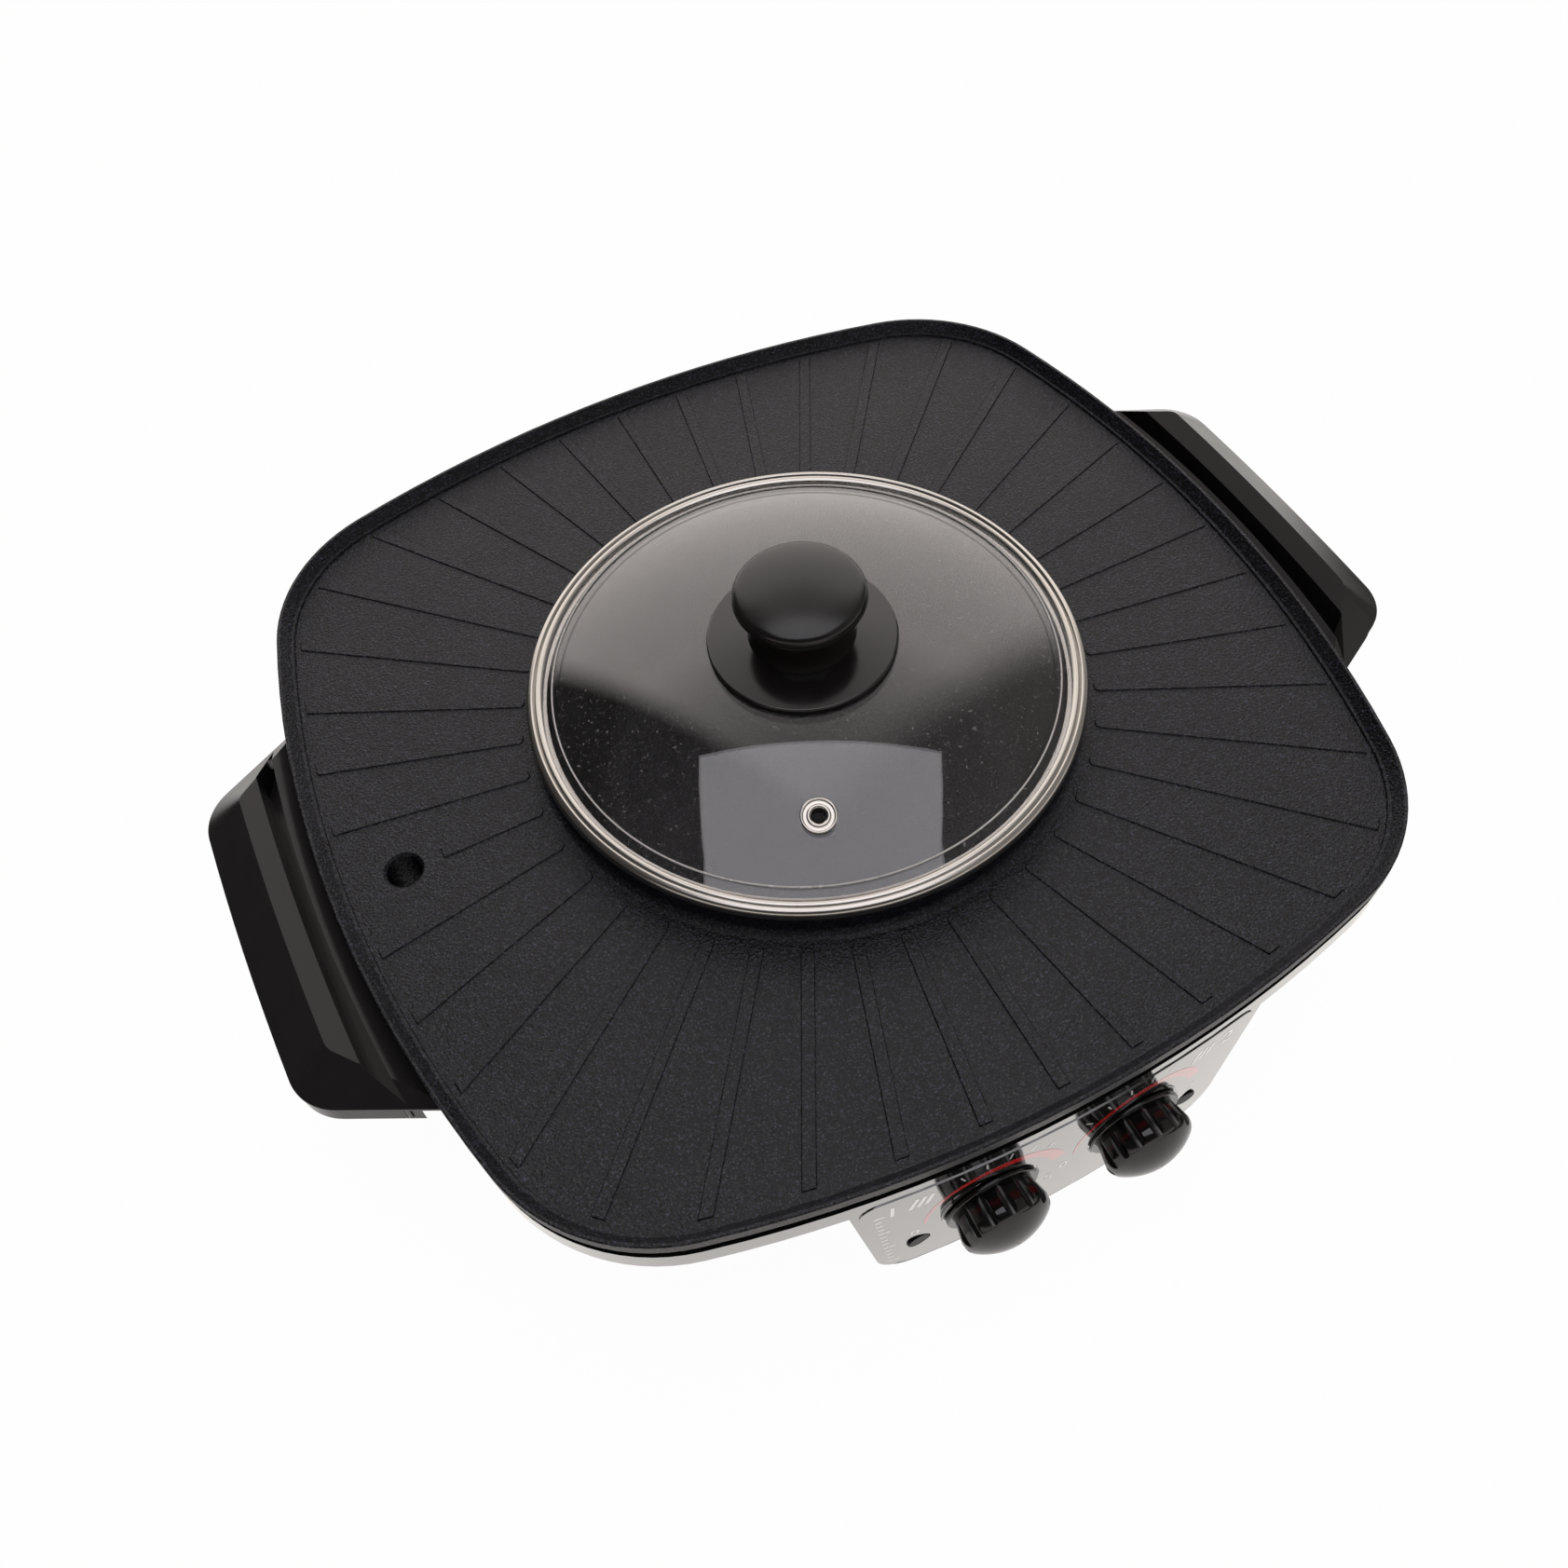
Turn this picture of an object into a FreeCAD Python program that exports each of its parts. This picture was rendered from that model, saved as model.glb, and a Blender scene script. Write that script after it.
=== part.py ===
import FreeCAD
import Part
import math
import os

# Electric hot pot set in a grill plate, with a lift-off glass lid.
# Millimetres.  +Z is up, the controls face -Y, and the origin is on the table under the pot's axis.

Vector = FreeCAD.Vector
X_AXIS = Vector(1, 0, 0)
Y_AXIS = Vector(0, 1, 0)
Z_AXIS = Vector(0, 0, 1)

# ---- heights above the table ----
rim_z = 85.0               # top of the plate's outer lip
foot_height = 8.5          # table to the underside of the bottom cover

# ---- grill plate, a bulged square of tangent arcs ----
plate_half_width = 163.1
plate_half_depth = 161.4
side_bulge_radius = 412.0
front_bulge_radius = 428.0
plate_corner_radius = 58.9
lip_height = 5.3
lip_top_width = 1.2
lip_edge_round = 0.5
lip_under_round = 1.2
surface_drop = 4.4         # rim down to the cooking surface
wall_foot_drop = 3.6       # rim down to the small ledge inside the lip
wall_foot_inset = 3.9
ledge_width = 1.0
ledge_foot_width = 0.3
seat_drop = 9.5            # rim down to the casting's seat on the base
skirt_inset = 3.5          # the dark gap under the lip

# ---- ribs on the cooking surface ----
rib_count = 40
rib_width = 4.2
rib_height = 0.4
rib_edge_soft = 0.3
rib_start_gap = 4.6        # from the ring round the bowl
rib_drain_gap = 7.0        # from the drain to the rib that runs towards it
rib_end_inset = 7.0

# ---- fat drain ----
drain_inset = 23.5         # inside the plate's left side
drain_radius = 5.6
drain_edge_round = 0.8
spout_wall = 2.4
spout_length = 36.0        # below the casting's seat
spout_clearance = 1.2

# ---- pot bowl ----
ring_height = 9.0          # cooking surface to the top of the ring round the bowl
bowl_mouth_radius = 84.5
ring_wall = 4.2
ring_foot_round = 3.0
ring_edge_round = 0.8
bowl_floor_z = 27.0
bowl_draft = 3.5           # the floor's radius is smaller than the mouth's by this
bowl_corner_round = 14.0
bowl_wall = 3.2
bowl_floor_wall = 4.0

# ---- base shell and bottom cover ----
shell_inset = 0.4          # shell's band inside the plate's outline
shell_wall = 2.5
ledge_reach = 6.0          # shelf inside the band that carries the casting
ledge_thickness = 2.5
band_height = 9.5
band_round = 1.6
shelf_inset = 33.0         # where the sloping shelf meets the body
shelf_drop = 17.0
body_foot_inset = 41.0
cover_wall = 2.5
lip_fit_clearance = 0.2
locating_rib_width = 1.6
locating_rib_height = 4.0

# ---- control nose on the front ----
nose_half_top = 67.5
nose_half_foot = 58.0
nose_corner_round = 13.0
nose_depth = 62.0
film_thickness = 0.3
film_margin = 2.1
film_top_drop = 14.5       # below the rim
film_foot_margin = 1.8
film_corner_round = 11.0
film_top_corner_round = 6.0
film_hole_clearance = 0.15

# ---- controls ----
knob_spacing = 48.8
knob_drop = 44.3           # rim down to the shaft's axis
knob_seat_radius = 15.9
knob_seat_setback = 0.6    # seat behind the middle of the panel
knob_gap = 0.5
knob_flange_radius = 15.3
knob_flange_thickness = 1.3
knob_flange_round = 0.5
knob_waist_radius = 12.9
knob_body_radius = 14.3
knob_body_length = 6.4
knob_dome_height = 7.7
knob_dome_round = 4.5
knob_wall = 2.4
knob_hub_radius = 5.2
flute_count = 14
flute_radius = 2.0
flute_depth = 1.3
flute_overrun = 1.6        # cutter's length as a share of the flute's
shaft_radius = 3.0
shaft_fit = 0.05
shaft_flat = 0.8
shaft_in_knob = 9.0
shaft_in_thermostat = 13.0
thermostat_plate = 1.5
thermostat_plate_width = 30.0
thermostat_plate_height = 16.0
thermostat_radius = 11.5
thermostat_length = 19.0
thermostat_seat_gap = 0.1
thermostat_pocket_radius = 17.5
blade_width = 6.3
blade_thickness = 0.8
blade_length = 9.0
blade_offset = 6.5
control_screw_spacing = 22.0
control_screw_radius = 1.5
control_screw_head = 2.8
control_screw_length = 8.0
control_screw_slot = 0.7
control_screw_slot_depth = 0.5
shaft_hole_clearance = 1.0
screw_clearance = 0.15

# ---- indicator lamps ----
lamp_inset = 20.5          # from the top corners of the nose
lamp_drop = 57.6
lamp_radius = 3.65
lamp_clearance = 0.15
lamp_proud = 0.7
lamp_round = 0.4
lamp_flange_radius = 5.4
lamp_flange = 1.4
lamp_body_radius = 3.3
lamp_body_length = 13.0
lamp_flange_setback = 0.6  # behind the shell's inner face
lamp_flange_gap = 0.1
lamp_wire_radius = 0.5
lamp_wire_length = 5.0
lamp_wire_offset = 1.8

# ---- side handles ----
grip_out = 30.1            # outermost point beyond the plate's side
grip_bulge = 1.4
grip_end_slope = 0.5       # how the end leans back, y per x
grip_end_y = 57.0          # half length at the outer edge, before the corner is rounded
grip_root = 10.0           # how far the handle's plan runs in under the plate
grip_corner_round = 17.7
grip_bevel = 14.3          # crease to the outer side
grip_bevel_drop = 11.7     # crease down to the foot of the bevel
grip_bevel_share = 0.36    # of the wall, by which the hollow's crease lies further in
grip_foot_share = 0.47     # of the wall, by which the foot of the hollow's bevel is lower
grip_crease_share = 1.1    # of the wall, by which the hollow's inner face is lower
grip_crease_drop = 0.3     # crease below the rim
lip_slope = 0.42           # fall of the inner face towards the plate
grip_seam_drop = 13.0
grip_wall = 2.4
grip_gap = 0.1
seam_step = 0.4
grip_cover_depth = 8.5
grip_cover_round = 2.2
grip_cover_wall = 2.0
slot_gap = 5.3             # from the plate's side to the slot
slot_width = 4.3
slot_outer_bulge = 1.6
slot_corner_y = 57.0
slot_end_gap = 0.9
slot_end_y = 70.0
slot_end_growth = 1.6      # the slot's pointed ends grow faster than its sides
slot_floor_drop = 17.0
slot_wall = 1.6
flange_thickness = 4.4
flange_half_length = 60.0
flange_foot_drop = 18.5
grip_screw_y = 45.0
grip_screw_drop = 14.3
grip_screw_radius = 1.9
grip_screw_head = 3.4
grip_screw_head_height = 2.4
grip_screw_bite = 3.8
grip_screw_fit = 0.05
grip_screw_tip_gap = 0.3
cover_screw_inset = 12.5   # inside the handle's outer side
cover_screw_y = 40.0
cover_screw_radius = 1.5
cover_screw_head = 2.8
cover_screw_head_height = 1.6
cover_screw_bite = 8.0
cover_screw_tip_gap = 0.2
cover_boss_radius = 3.4
cover_boss_drop = 5.6      # below the rim, inside the handle's roof

# ---- heaters ----
heater_tube_radius = 3.5
heater_gap = 0.1
heater_open_angle = 46.0
pot_heater_inset = 11.0    # inside the flat part of the bowl's floor
grill_heater_inset = 47.1  # inside the plate's sides
heater_rib_width = 2.0
heater_rib_height = 4.5
heater_rib_gap = 0.15
heater_pin_clearance = 0.1
insulator_radius = 3.4
insulator_length = 6.0
pin_radius = 1.4
pin_length = 7.0

# ---- case fixing ----
post_side_inset = 70.1     # inside the plate's sides
post_front_inset = 68.4    # inside the plate's front and back
post_radius = 6.0
post_foot_z = 40.0
post_hole_radius = 2.05
post_hole_depth = 16.0
pillar_radius = 6.0
pillar_bore = 4.6
pillar_floor = 3.0
pillar_shoulder_radius = 9.0
shield_z = 14.0
case_screw_radius = 2.0
case_screw_head = 3.8
case_screw_head_height = 2.8
case_screw_bite = 12.0

# ---- heat shield ----
shield_thickness = 0.8
shield_inset = 58.5
shield_corner = 30.0
shield_hole_clearance = 0.4

# ---- feet ----
foot_inset = 59.1          # inside the plate's sides
foot_y = 64.0
foot_radius = 10.5
foot_tip_radius = 9.5
foot_stem_radius = 4.0
foot_stem_tip = 3.0
foot_stem_clearance = 0.1
foot_head_radius = 5.2
foot_head_height = 2.0

# ---- vents in the bottom cover ----
vent_length = 46.0
vent_width = 3.2
vent_pitch = 9.0
vent_count = 7

# ---- mains inlet at the back ----
inlet_z = 38.0
rear_box_width = 64.0
rear_box_inset = 1.9       # inside the plate's back edge
rear_box_round = 6.0
inlet_flange_width = 50.0
inlet_flange_height = 25.0
inlet_flange = 2.6
inlet_shroud_width = 28.0
inlet_shroud_height = 21.0
inlet_shroud_reach = 13.0
inlet_shroud_round = 3.0
inlet_mouth_round = 2.0
inlet_mouth_width = 24.4
inlet_mouth_height = 17.4
inlet_depth = 20.0
inlet_back_wall = 3.0
inlet_clearance = 0.2
inlet_pin_pitch = 14.0
inlet_pin_width = 4.0
inlet_pin_thickness = 2.0
inlet_pin_length = 13.0
inlet_tail_length = 9.0
inlet_pin_drop = 2.9
inlet_earth_rise = 1.1
inlet_screw_spacing = 40.0
inlet_screw_radius = 1.7
inlet_screw_head = 3.0
inlet_screw_head_height = 1.6
inlet_screw_length = 9.0

# ---- crosshead of the screws, as shares of the head ----
head_round_share = 0.45
cross_depth_share = 0.4
cross_length_share = 1.2
cross_width_share = 0.28

# ---- terminal block and thermal fuse ----
block_width = 40.0
block_depth = 12.0
block_height = 11.0
block_cells = 5
block_y = 84.0
block_gap = 0.1
block_bore_radius = 1.9
block_bore_rise = 4.4
fuse_radius = 2.0
fuse_length = 16.0
fuse_clip = 2.2
fuse_x = 20.0
fuse_y = -20.0

# ---- leads inside the base ----
lead_radius = 1.2
lead_bend = 4.0
lead_in_block = 4.0
lead_straight = 9.0        # straight run out of a pin, a blade or the block
inlet_lead_run = 20.0      # behind the block before a lead turns up to the inlet
side_route_inset = 3.0     # low route beside the bowl, inside the posts' line
side_route_rear_y = 60.0
side_route_front_y = -40.0
side_route_spread = 4.0
nose_route_x = 58.0
nose_route_y = -103.0
nose_turn_y = -109.0
nose_lead_run = 11.0
pot_pin_run = 6.0
pot_pin_side_run = 5.0
bowl_front_x = -12.0
bowl_front_rear_y = -72.0
bowl_front_front_y = -100.0
inner_route_rear_x = 74.0
inner_route_rear_y = 50.0
inner_route_front_x = 80.0
inner_route_front_y = -36.0
inner_route_turn_x = 50.0
inner_route_turn_y = -75.0
inner_route_end_y = -71.0
block_lead_run = 15.0
grill_pin_drop = 17.0
high_route_inset = 12.0    # inside the plate's heater
high_route_rear_y = 10.0
high_route_front_y = -60.0
high_route_z = 46.0
high_corner_x = -60.0
high_corner_y = -114.0
high_corner_z = 52.0

# ---- lid ----
lid_overhang = 5.5         # beyond the bowl's mouth
rim_steel = 0.7
rim_top_round = 2.0
rim_height = 5.0
rim_roll_width = 2.8
rim_groove_depth = 0.5
rim_width = 5.1
rim_skirt_clearance = 0.9
rim_skirt_depth = 5.5
rim_roll = 0.1             # crown of the rolled outer edge
glass_thickness = 3.4
glass_edge_inset = 1.6
glass_flat_width = 4.2     # flat edge of the glass outside the dome
glass_rise = 17.5
glass_gap = 0.05
glass_edge_round = 0.8
glass_bend_width = 1.0     # inner bend inside the outer one
glass_hole_radius = 3.4
gasket_radius = 14.0
gasket_thickness = 0.5
disc_radius = 30.0
disc_edge_thickness = 2.1
disc_edge_round = 0.7
disc_centre_thickness = 1.6
handle_neck_radius = 17.0
handle_waist_radius = 16.4
handle_neck_height = 10.5
handle_waist_height = 4.7
handle_neck_flare = 0.3
cap_radius = 20.7
cap_under_round = 3.0
cap_edge_height = 16.5     # widest circle of the cap above the disc
cap_top_height = 22.5
handle_hollow_radius = 12.5
handle_hollow_height = 9.0
handle_hub_radius = 6.0
lid_screw_radius = 2.5
lid_screw_bite = 11.0
lid_screw_head = 5.0
lid_screw_head_height = 2.6
washer_radius = 9.0
washer_thickness = 1.2
eyelet_x = -24.1
eyelet_y = -56.6
eyelet_hole_radius = 2.3
eyelet_barrel_radius = 3.3
eyelet_flange_radius = 5.6
eyelet_flange = 0.9
eyelet_flange_round = 0.8
eyelet_clearance = 0.1

# ---- worked out from the sizes above ----
surface_z = rim_z - surface_drop
lip_bottom_z = rim_z - lip_height
seat_z = rim_z - seat_drop
band_bottom_z = seat_z - band_height
shelf_z = band_bottom_z - shelf_drop
cover_z = foot_height
shell_z = foot_height + cover_wall
ring_top_z = surface_z + ring_height
bowl_under_z = bowl_floor_z - bowl_floor_wall
drain_x = drain_inset - plate_half_width
ring_outer_radius = bowl_mouth_radius + ring_wall
rib_start_radius = ring_outer_radius + rib_start_gap
bowl_floor_radius = bowl_mouth_radius - bowl_draft
pot_heater_radius = bowl_floor_radius - bowl_corner_round - pot_heater_inset
grill_heater_radius = plate_half_width - grill_heater_inset
lid_radius = bowl_mouth_radius + lid_overhang
rim_groove_radius = lid_radius - rim_roll_width
rim_inner_radius = lid_radius - rim_width
rim_skirt_radius = bowl_mouth_radius - rim_skirt_clearance
glass_edge_radius = lid_radius - glass_edge_inset
glass_bend_radius = glass_edge_radius - glass_flat_width
post_x = plate_half_width - post_side_inset
post_y = plate_half_depth - post_front_inset
foot_x = plate_half_width - foot_inset
side_route_x = post_x - side_route_inset
high_route_x = grill_heater_radius - high_route_inset
grip_reach = plate_half_width + grip_out
slot_inner_x = plate_half_width + slot_gap
slot_outer_x = slot_inner_x + slot_width
slot_end_x = plate_half_width + slot_end_gap
cover_screw_x = grip_reach - cover_screw_inset
rear_box_y = plate_half_depth - rear_box_inset
lamp_spacing = 2 * (nose_half_top - lamp_inset)
side_centre_x = plate_half_width - side_bulge_radius
front_centre_y = plate_half_depth - front_bulge_radius
panel_y = plate_half_depth - shell_inset        # panel's middle, counted towards the user
knob_z = rim_z - knob_drop
lamp_z = rim_z - lamp_drop
seam_z = rim_z - grip_seam_drop
knob_seat_y = -(panel_y - knob_seat_setback)
knob_back_y = knob_seat_y - knob_gap
panel_inner_y = knob_seat_y + shell_wall
far = 400.0                # longer than the whole pot, for cutting tools
spare = 1.0                # overlap of a tool or of two joined shapes
near_enough = 0.0001       # for finding edges by their height


def box(x0, x1, y0, y1, z0, z1):
    return Part.makeBox(x1 - x0, y1 - y0, z1 - z0, Vector(x0, y0, z0))


def rod(radius, length, start, direction):
    return Part.makeCylinder(radius, length, start, direction)


def solid_of(shape):
    # One clean solid from a boolean result.
    clean = shape.removeSplitter()
    if len(clean.Solids) == 1:
        return clean.Solids[0]
    return clean


def union(first, *others):
    result = first
    for other in others:
        result = result.fuse(other)
    return result


def save(node, shape):
    parts = shape.Solids
    volume = sum(piece.Volume for piece in parts)
    print("%-24s solids %d  volume %9.0f  valid %s" % (node, len(parts), volume, shape.isValid()))
    out = parts[0] if len(parts) == 1 else Part.makeCompound(parts)
    out.exportStep("parts/%s.step" % node)
    return out


def mirrored_x(shape):
    return shape.mirror(Vector(0, 0, 0), X_AXIS)


def plate_corner():
    # Centre of the corner arc that is tangent to a side arc and to the front arc.
    side_reach = side_bulge_radius - plate_corner_radius
    front_reach = front_bulge_radius - plate_corner_radius
    gap = math.hypot(side_centre_x, front_centre_y)
    along = (side_reach ** 2 - front_reach ** 2 + gap ** 2) / (2 * gap)
    off = math.sqrt(side_reach ** 2 - along ** 2)
    ux = -side_centre_x / gap
    uy = front_centre_y / gap
    return Vector(side_centre_x + along * ux - off * uy, along * uy + off * ux, 0)


def outline(inset, z):
    # The plate's outline as eight tangent arcs, moved in by inset.
    corner = plate_corner()
    side_dir = (corner - Vector(side_centre_x, 0, 0)).normalize()
    front_dir = (corner - Vector(0, front_centre_y, 0)).normalize()
    mid_dir = (side_dir + front_dir).normalize()
    side_end = corner + side_dir * (plate_corner_radius - inset)
    front_end = corner + front_dir * (plate_corner_radius - inset)
    corner_mid = corner + mid_dir * (plate_corner_radius - inset)
    half_x = plate_half_width - inset
    half_y = plate_half_depth - inset

    def at(point, sx, sy):
        return Vector(point.x * sx, point.y * sy, z)

    arcs = []
    arcs.append(Part.Arc(at(side_end, 1, -1), Vector(half_x, 0, z), at(side_end, 1, 1)))
    arcs.append(Part.Arc(at(side_end, 1, 1), at(corner_mid, 1, 1), at(front_end, 1, 1)))
    arcs.append(Part.Arc(at(front_end, 1, 1), Vector(0, half_y, z), at(front_end, -1, 1)))
    arcs.append(Part.Arc(at(front_end, -1, 1), at(corner_mid, -1, 1), at(side_end, -1, 1)))
    arcs.append(Part.Arc(at(side_end, -1, 1), Vector(-half_x, 0, z), at(side_end, -1, -1)))
    arcs.append(Part.Arc(at(side_end, -1, -1), at(corner_mid, -1, -1), at(front_end, -1, -1)))
    arcs.append(Part.Arc(at(front_end, -1, -1), Vector(0, -half_y, z), at(front_end, 1, -1)))
    arcs.append(Part.Arc(at(front_end, 1, -1), at(corner_mid, 1, -1), at(side_end, 1, -1)))
    return Part.Wire([arc.toShape() for arc in arcs])


def slab(inset, z0, z1):
    return Part.Face(outline(inset, z0)).extrude(Vector(0, 0, z1 - z0))


def taper(inset0, z0, inset1, z1):
    return Part.makeLoft([outline(inset0, z0), outline(inset1, z1)], True, True)


def edges_at_z(shape, z):
    found = []
    for edge in shape.Edges:
        if abs(edge.BoundBox.ZMin - z) < near_enough and abs(edge.BoundBox.ZMax - z) < near_enough:
            found.append(edge)
    return found


def edges_along(shape, axis):
    # The straight edges that run along an axis.
    found = []
    for edge in shape.Edges:
        aligned = abs(edge.tangentAt(edge.FirstParameter).dot(axis)) > 1 - near_enough
        if aligned and edge.Curve.TypeId == "Part::GeomLine":
            found.append(edge)
    return found


def revolved(edges):
    # Turn a closed profile, drawn in the XZ plane, once round the pot's axis.
    face = Part.Face(Part.Wire(edges))
    return face.revolve(Vector(0, 0, 0), Z_AXIS, 360)


def line(a, b):
    return Part.LineSegment(Vector(a[0], 0, a[1]), Vector(b[0], 0, b[1])).toShape()


def arc(a, mid, b):
    start = Vector(a[0], 0, a[1])
    middle = Vector(mid[0], 0, mid[1])
    end = Vector(b[0], 0, b[1])
    return Part.Arc(start, middle, end).toShape()


def quarter(centre, radius, angle0, angle1):
    # An arc in the XZ plane, angles in degrees from +X towards +Z.
    points = []
    for angle in (angle0, (angle0 + angle1) / 2.0, angle1):
        turn = math.radians(angle)
        points.append((centre[0] + radius * math.cos(turn), centre[1] + radius * math.sin(turn)))
    return arc(points[0], points[1], points[2])


def domed_top(wide, soft, wide_z, top, first_angle):
    # A rounded edge of radius soft and a spherical crown tangent to it, from the widest circle to the axis.
    shoulder = wide - soft
    rise = top - wide_z - soft
    drop = (shoulder ** 2 - rise ** 2) / (2 * rise)
    lean = math.degrees(math.atan2(drop, shoulder))
    radius = math.hypot(shoulder, drop) + soft
    return [
        quarter((shoulder, wide_z), soft, first_angle, lean),
        quarter((0, wide_z - drop), radius, lean, 90),
    ]


# ---------------------------------------------------------------- grill casting

def bowl_form():
    # The outside of the bowl, the ring round its mouth and the rounded foot of the ring.
    floor = bowl_under_z
    foot = bowl_floor_radius + bowl_wall
    round_out = bowl_corner_round + bowl_floor_wall
    neck_z = seat_z + 0.5 * (surface_z - seat_z)
    top = ring_top_z
    wide = ring_outer_radius + ring_foot_round
    fillet_centre = (wide, surface_z + ring_foot_round)
    edges = [
        line((0, floor), (foot - round_out, floor)),
        quarter((foot - round_out, floor + round_out), round_out, -90, 0),
        line((foot, floor + round_out), (bowl_mouth_radius + bowl_wall, neck_z)),
        line((bowl_mouth_radius + bowl_wall, neck_z), (wide, neck_z)),
        line((wide, neck_z), (wide, surface_z)),
        quarter(fillet_centre, ring_foot_round, 270, 180),
        line((ring_outer_radius, surface_z + ring_foot_round), (ring_outer_radius, top - ring_edge_round)),
        quarter((ring_outer_radius - ring_edge_round, top - ring_edge_round), ring_edge_round, 0, 90),
        line((ring_outer_radius - ring_edge_round, top), (0, top)),
        line((0, top), (0, floor)),
    ]
    return revolved(edges)


def bowl_hollow():
    above = ring_top_z + spare
    soft = ring_edge_round
    corner = (bowl_floor_radius - bowl_corner_round, bowl_floor_z + bowl_corner_round)
    edges = [
        line((0, bowl_floor_z), (corner[0], bowl_floor_z)),
        quarter(corner, bowl_corner_round, -90, 0),
        line((bowl_floor_radius, corner[1]), (bowl_mouth_radius, ring_top_z - soft)),
        quarter((bowl_mouth_radius + soft, ring_top_z - soft), soft, 180, 90),
        line((bowl_mouth_radius + soft, ring_top_z), (bowl_mouth_radius + soft, above)),
        line((bowl_mouth_radius + soft, above), (0, above)),
        line((0, above), (0, bowl_floor_z)),
    ]
    return revolved(edges)


def plate_form():
    lip = slab(0, lip_bottom_z, rim_z)
    lip = lip.makeFillet(lip_edge_round, edges_at_z(lip, rim_z))
    lip = lip.makeFillet(lip_under_round, edges_at_z(lip, lip_bottom_z))
    lower = slab(skirt_inset, seat_z, lip_bottom_z + lip_under_round)
    plate = lip.fuse(lower)
    ledge_z = rim_z - wall_foot_drop
    ledge_inset = wall_foot_inset + ledge_width
    plate = plate.cut(taper(wall_foot_inset, ledge_z, lip_top_width, rim_z))
    plate = plate.cut(taper(ledge_inset + ledge_foot_width, surface_z, ledge_inset, ledge_z))
    return plate


def ribs():
    # Low bars with round inner ends that run out from the ring and stop short of the lip.
    half = rib_width / 2
    field = slab(rib_end_inset, surface_z - spare, surface_z + rib_height)
    field = field.cut(rod(drain_radius + rib_drain_gap, far, Vector(drain_x, 0, 0), Z_AXIS))
    field = field.cut(box(-far, drain_x, -half, half, 0, far))
    bars = []
    for index in range(rib_count):
        bar = box(rib_start_radius + half, far, -half, half, surface_z - spare, surface_z + rib_height)
        end = Vector(rib_start_radius + half, 0, surface_z - spare)
        bar = solid_of(bar.fuse(rod(half, spare + rib_height, end, Z_AXIS)))
        bar.rotate(Vector(0, 0, 0), Z_AXIS, index * 360.0 / rib_count)
        bar = solid_of(bar.common(field))
        bars.append(bar.makeChamfer(rib_edge_soft, edges_at_z(bar, surface_z + rib_height)))
    return Part.makeCompound(bars)


def heater_seat(radius, underside_z):
    # Two low rings that hold a heater tube against the casting.
    half = heater_tube_radius + heater_rib_gap
    seat = None
    for inner in (radius - half - heater_rib_width, radius + half):
        foot = Vector(0, 0, underside_z - heater_rib_height)
        ring = rod(inner + heater_rib_width, heater_rib_height + spare, foot, Z_AXIS)
        ring = ring.cut(rod(inner, heater_rib_height + spare, foot, Z_AXIS))
        seat = ring if seat is None else seat.fuse(ring)
    gap = radius * math.sin(math.radians(heater_open_angle / 2))
    return seat.cut(box(-gap, gap, -far, 0, 0, far))


def casting_posts():
    posts = []
    for sx in (-1, 1):
        for sy in (-1, 1):
            foot = Vector(sx * post_x, sy * post_y, post_foot_z)
            posts.append(rod(post_radius, seat_z + spare - post_foot_z, foot, Z_AXIS))
    return Part.makeCompound(posts)


def post_holes():
    holes = []
    for sx in (-1, 1):
        for sy in (-1, 1):
            foot = Vector(sx * post_x, sy * post_y, post_foot_z)
            holes.append(rod(post_hole_radius, post_hole_depth, foot, Z_AXIS))
    return Part.makeCompound(holes)


def fuse_clip_form():
    # A small cast saddle under the bowl that holds the thermal fuse.
    floor = bowl_under_z
    half = fuse_radius + fuse_clip
    block = box(fuse_x - fuse_clip, fuse_x + fuse_clip, fuse_y - half, fuse_y + half,
                floor - 2 * fuse_radius, floor + spare)
    start = Vector(fuse_x - 2 * fuse_clip, fuse_y, floor - fuse_radius)
    return block.cut(rod(fuse_radius + heater_gap, 4 * fuse_clip, start, X_AXIS))


def grill_casting():
    spout_z = seat_z - spout_length
    spout = rod(drain_radius + spout_wall, seat_z + spare - spout_z, Vector(drain_x, 0, spout_z), Z_AXIS)
    body = union(plate_form(), bowl_form(), spout, casting_posts())
    body = union(body, heater_seat(grill_heater_radius, seat_z))
    body = union(body, heater_seat(pot_heater_radius, bowl_under_z))
    body = union(body, fuse_clip_form())
    body = body.fuse(ribs())
    body = body.cut(bowl_hollow())
    drain = rod(drain_radius, far, Vector(drain_x, 0, 0), Z_AXIS)
    funnel = Part.makeCone(drain_radius, drain_radius + drain_edge_round, drain_edge_round,
                           Vector(drain_x, 0, surface_z - drain_edge_round), Z_AXIS)
    body = body.cut(drain).cut(funnel)
    body = body.cut(post_holes())
    return solid_of(body)


# ---------------------------------------------------------------- base shell and bottom cover

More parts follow.
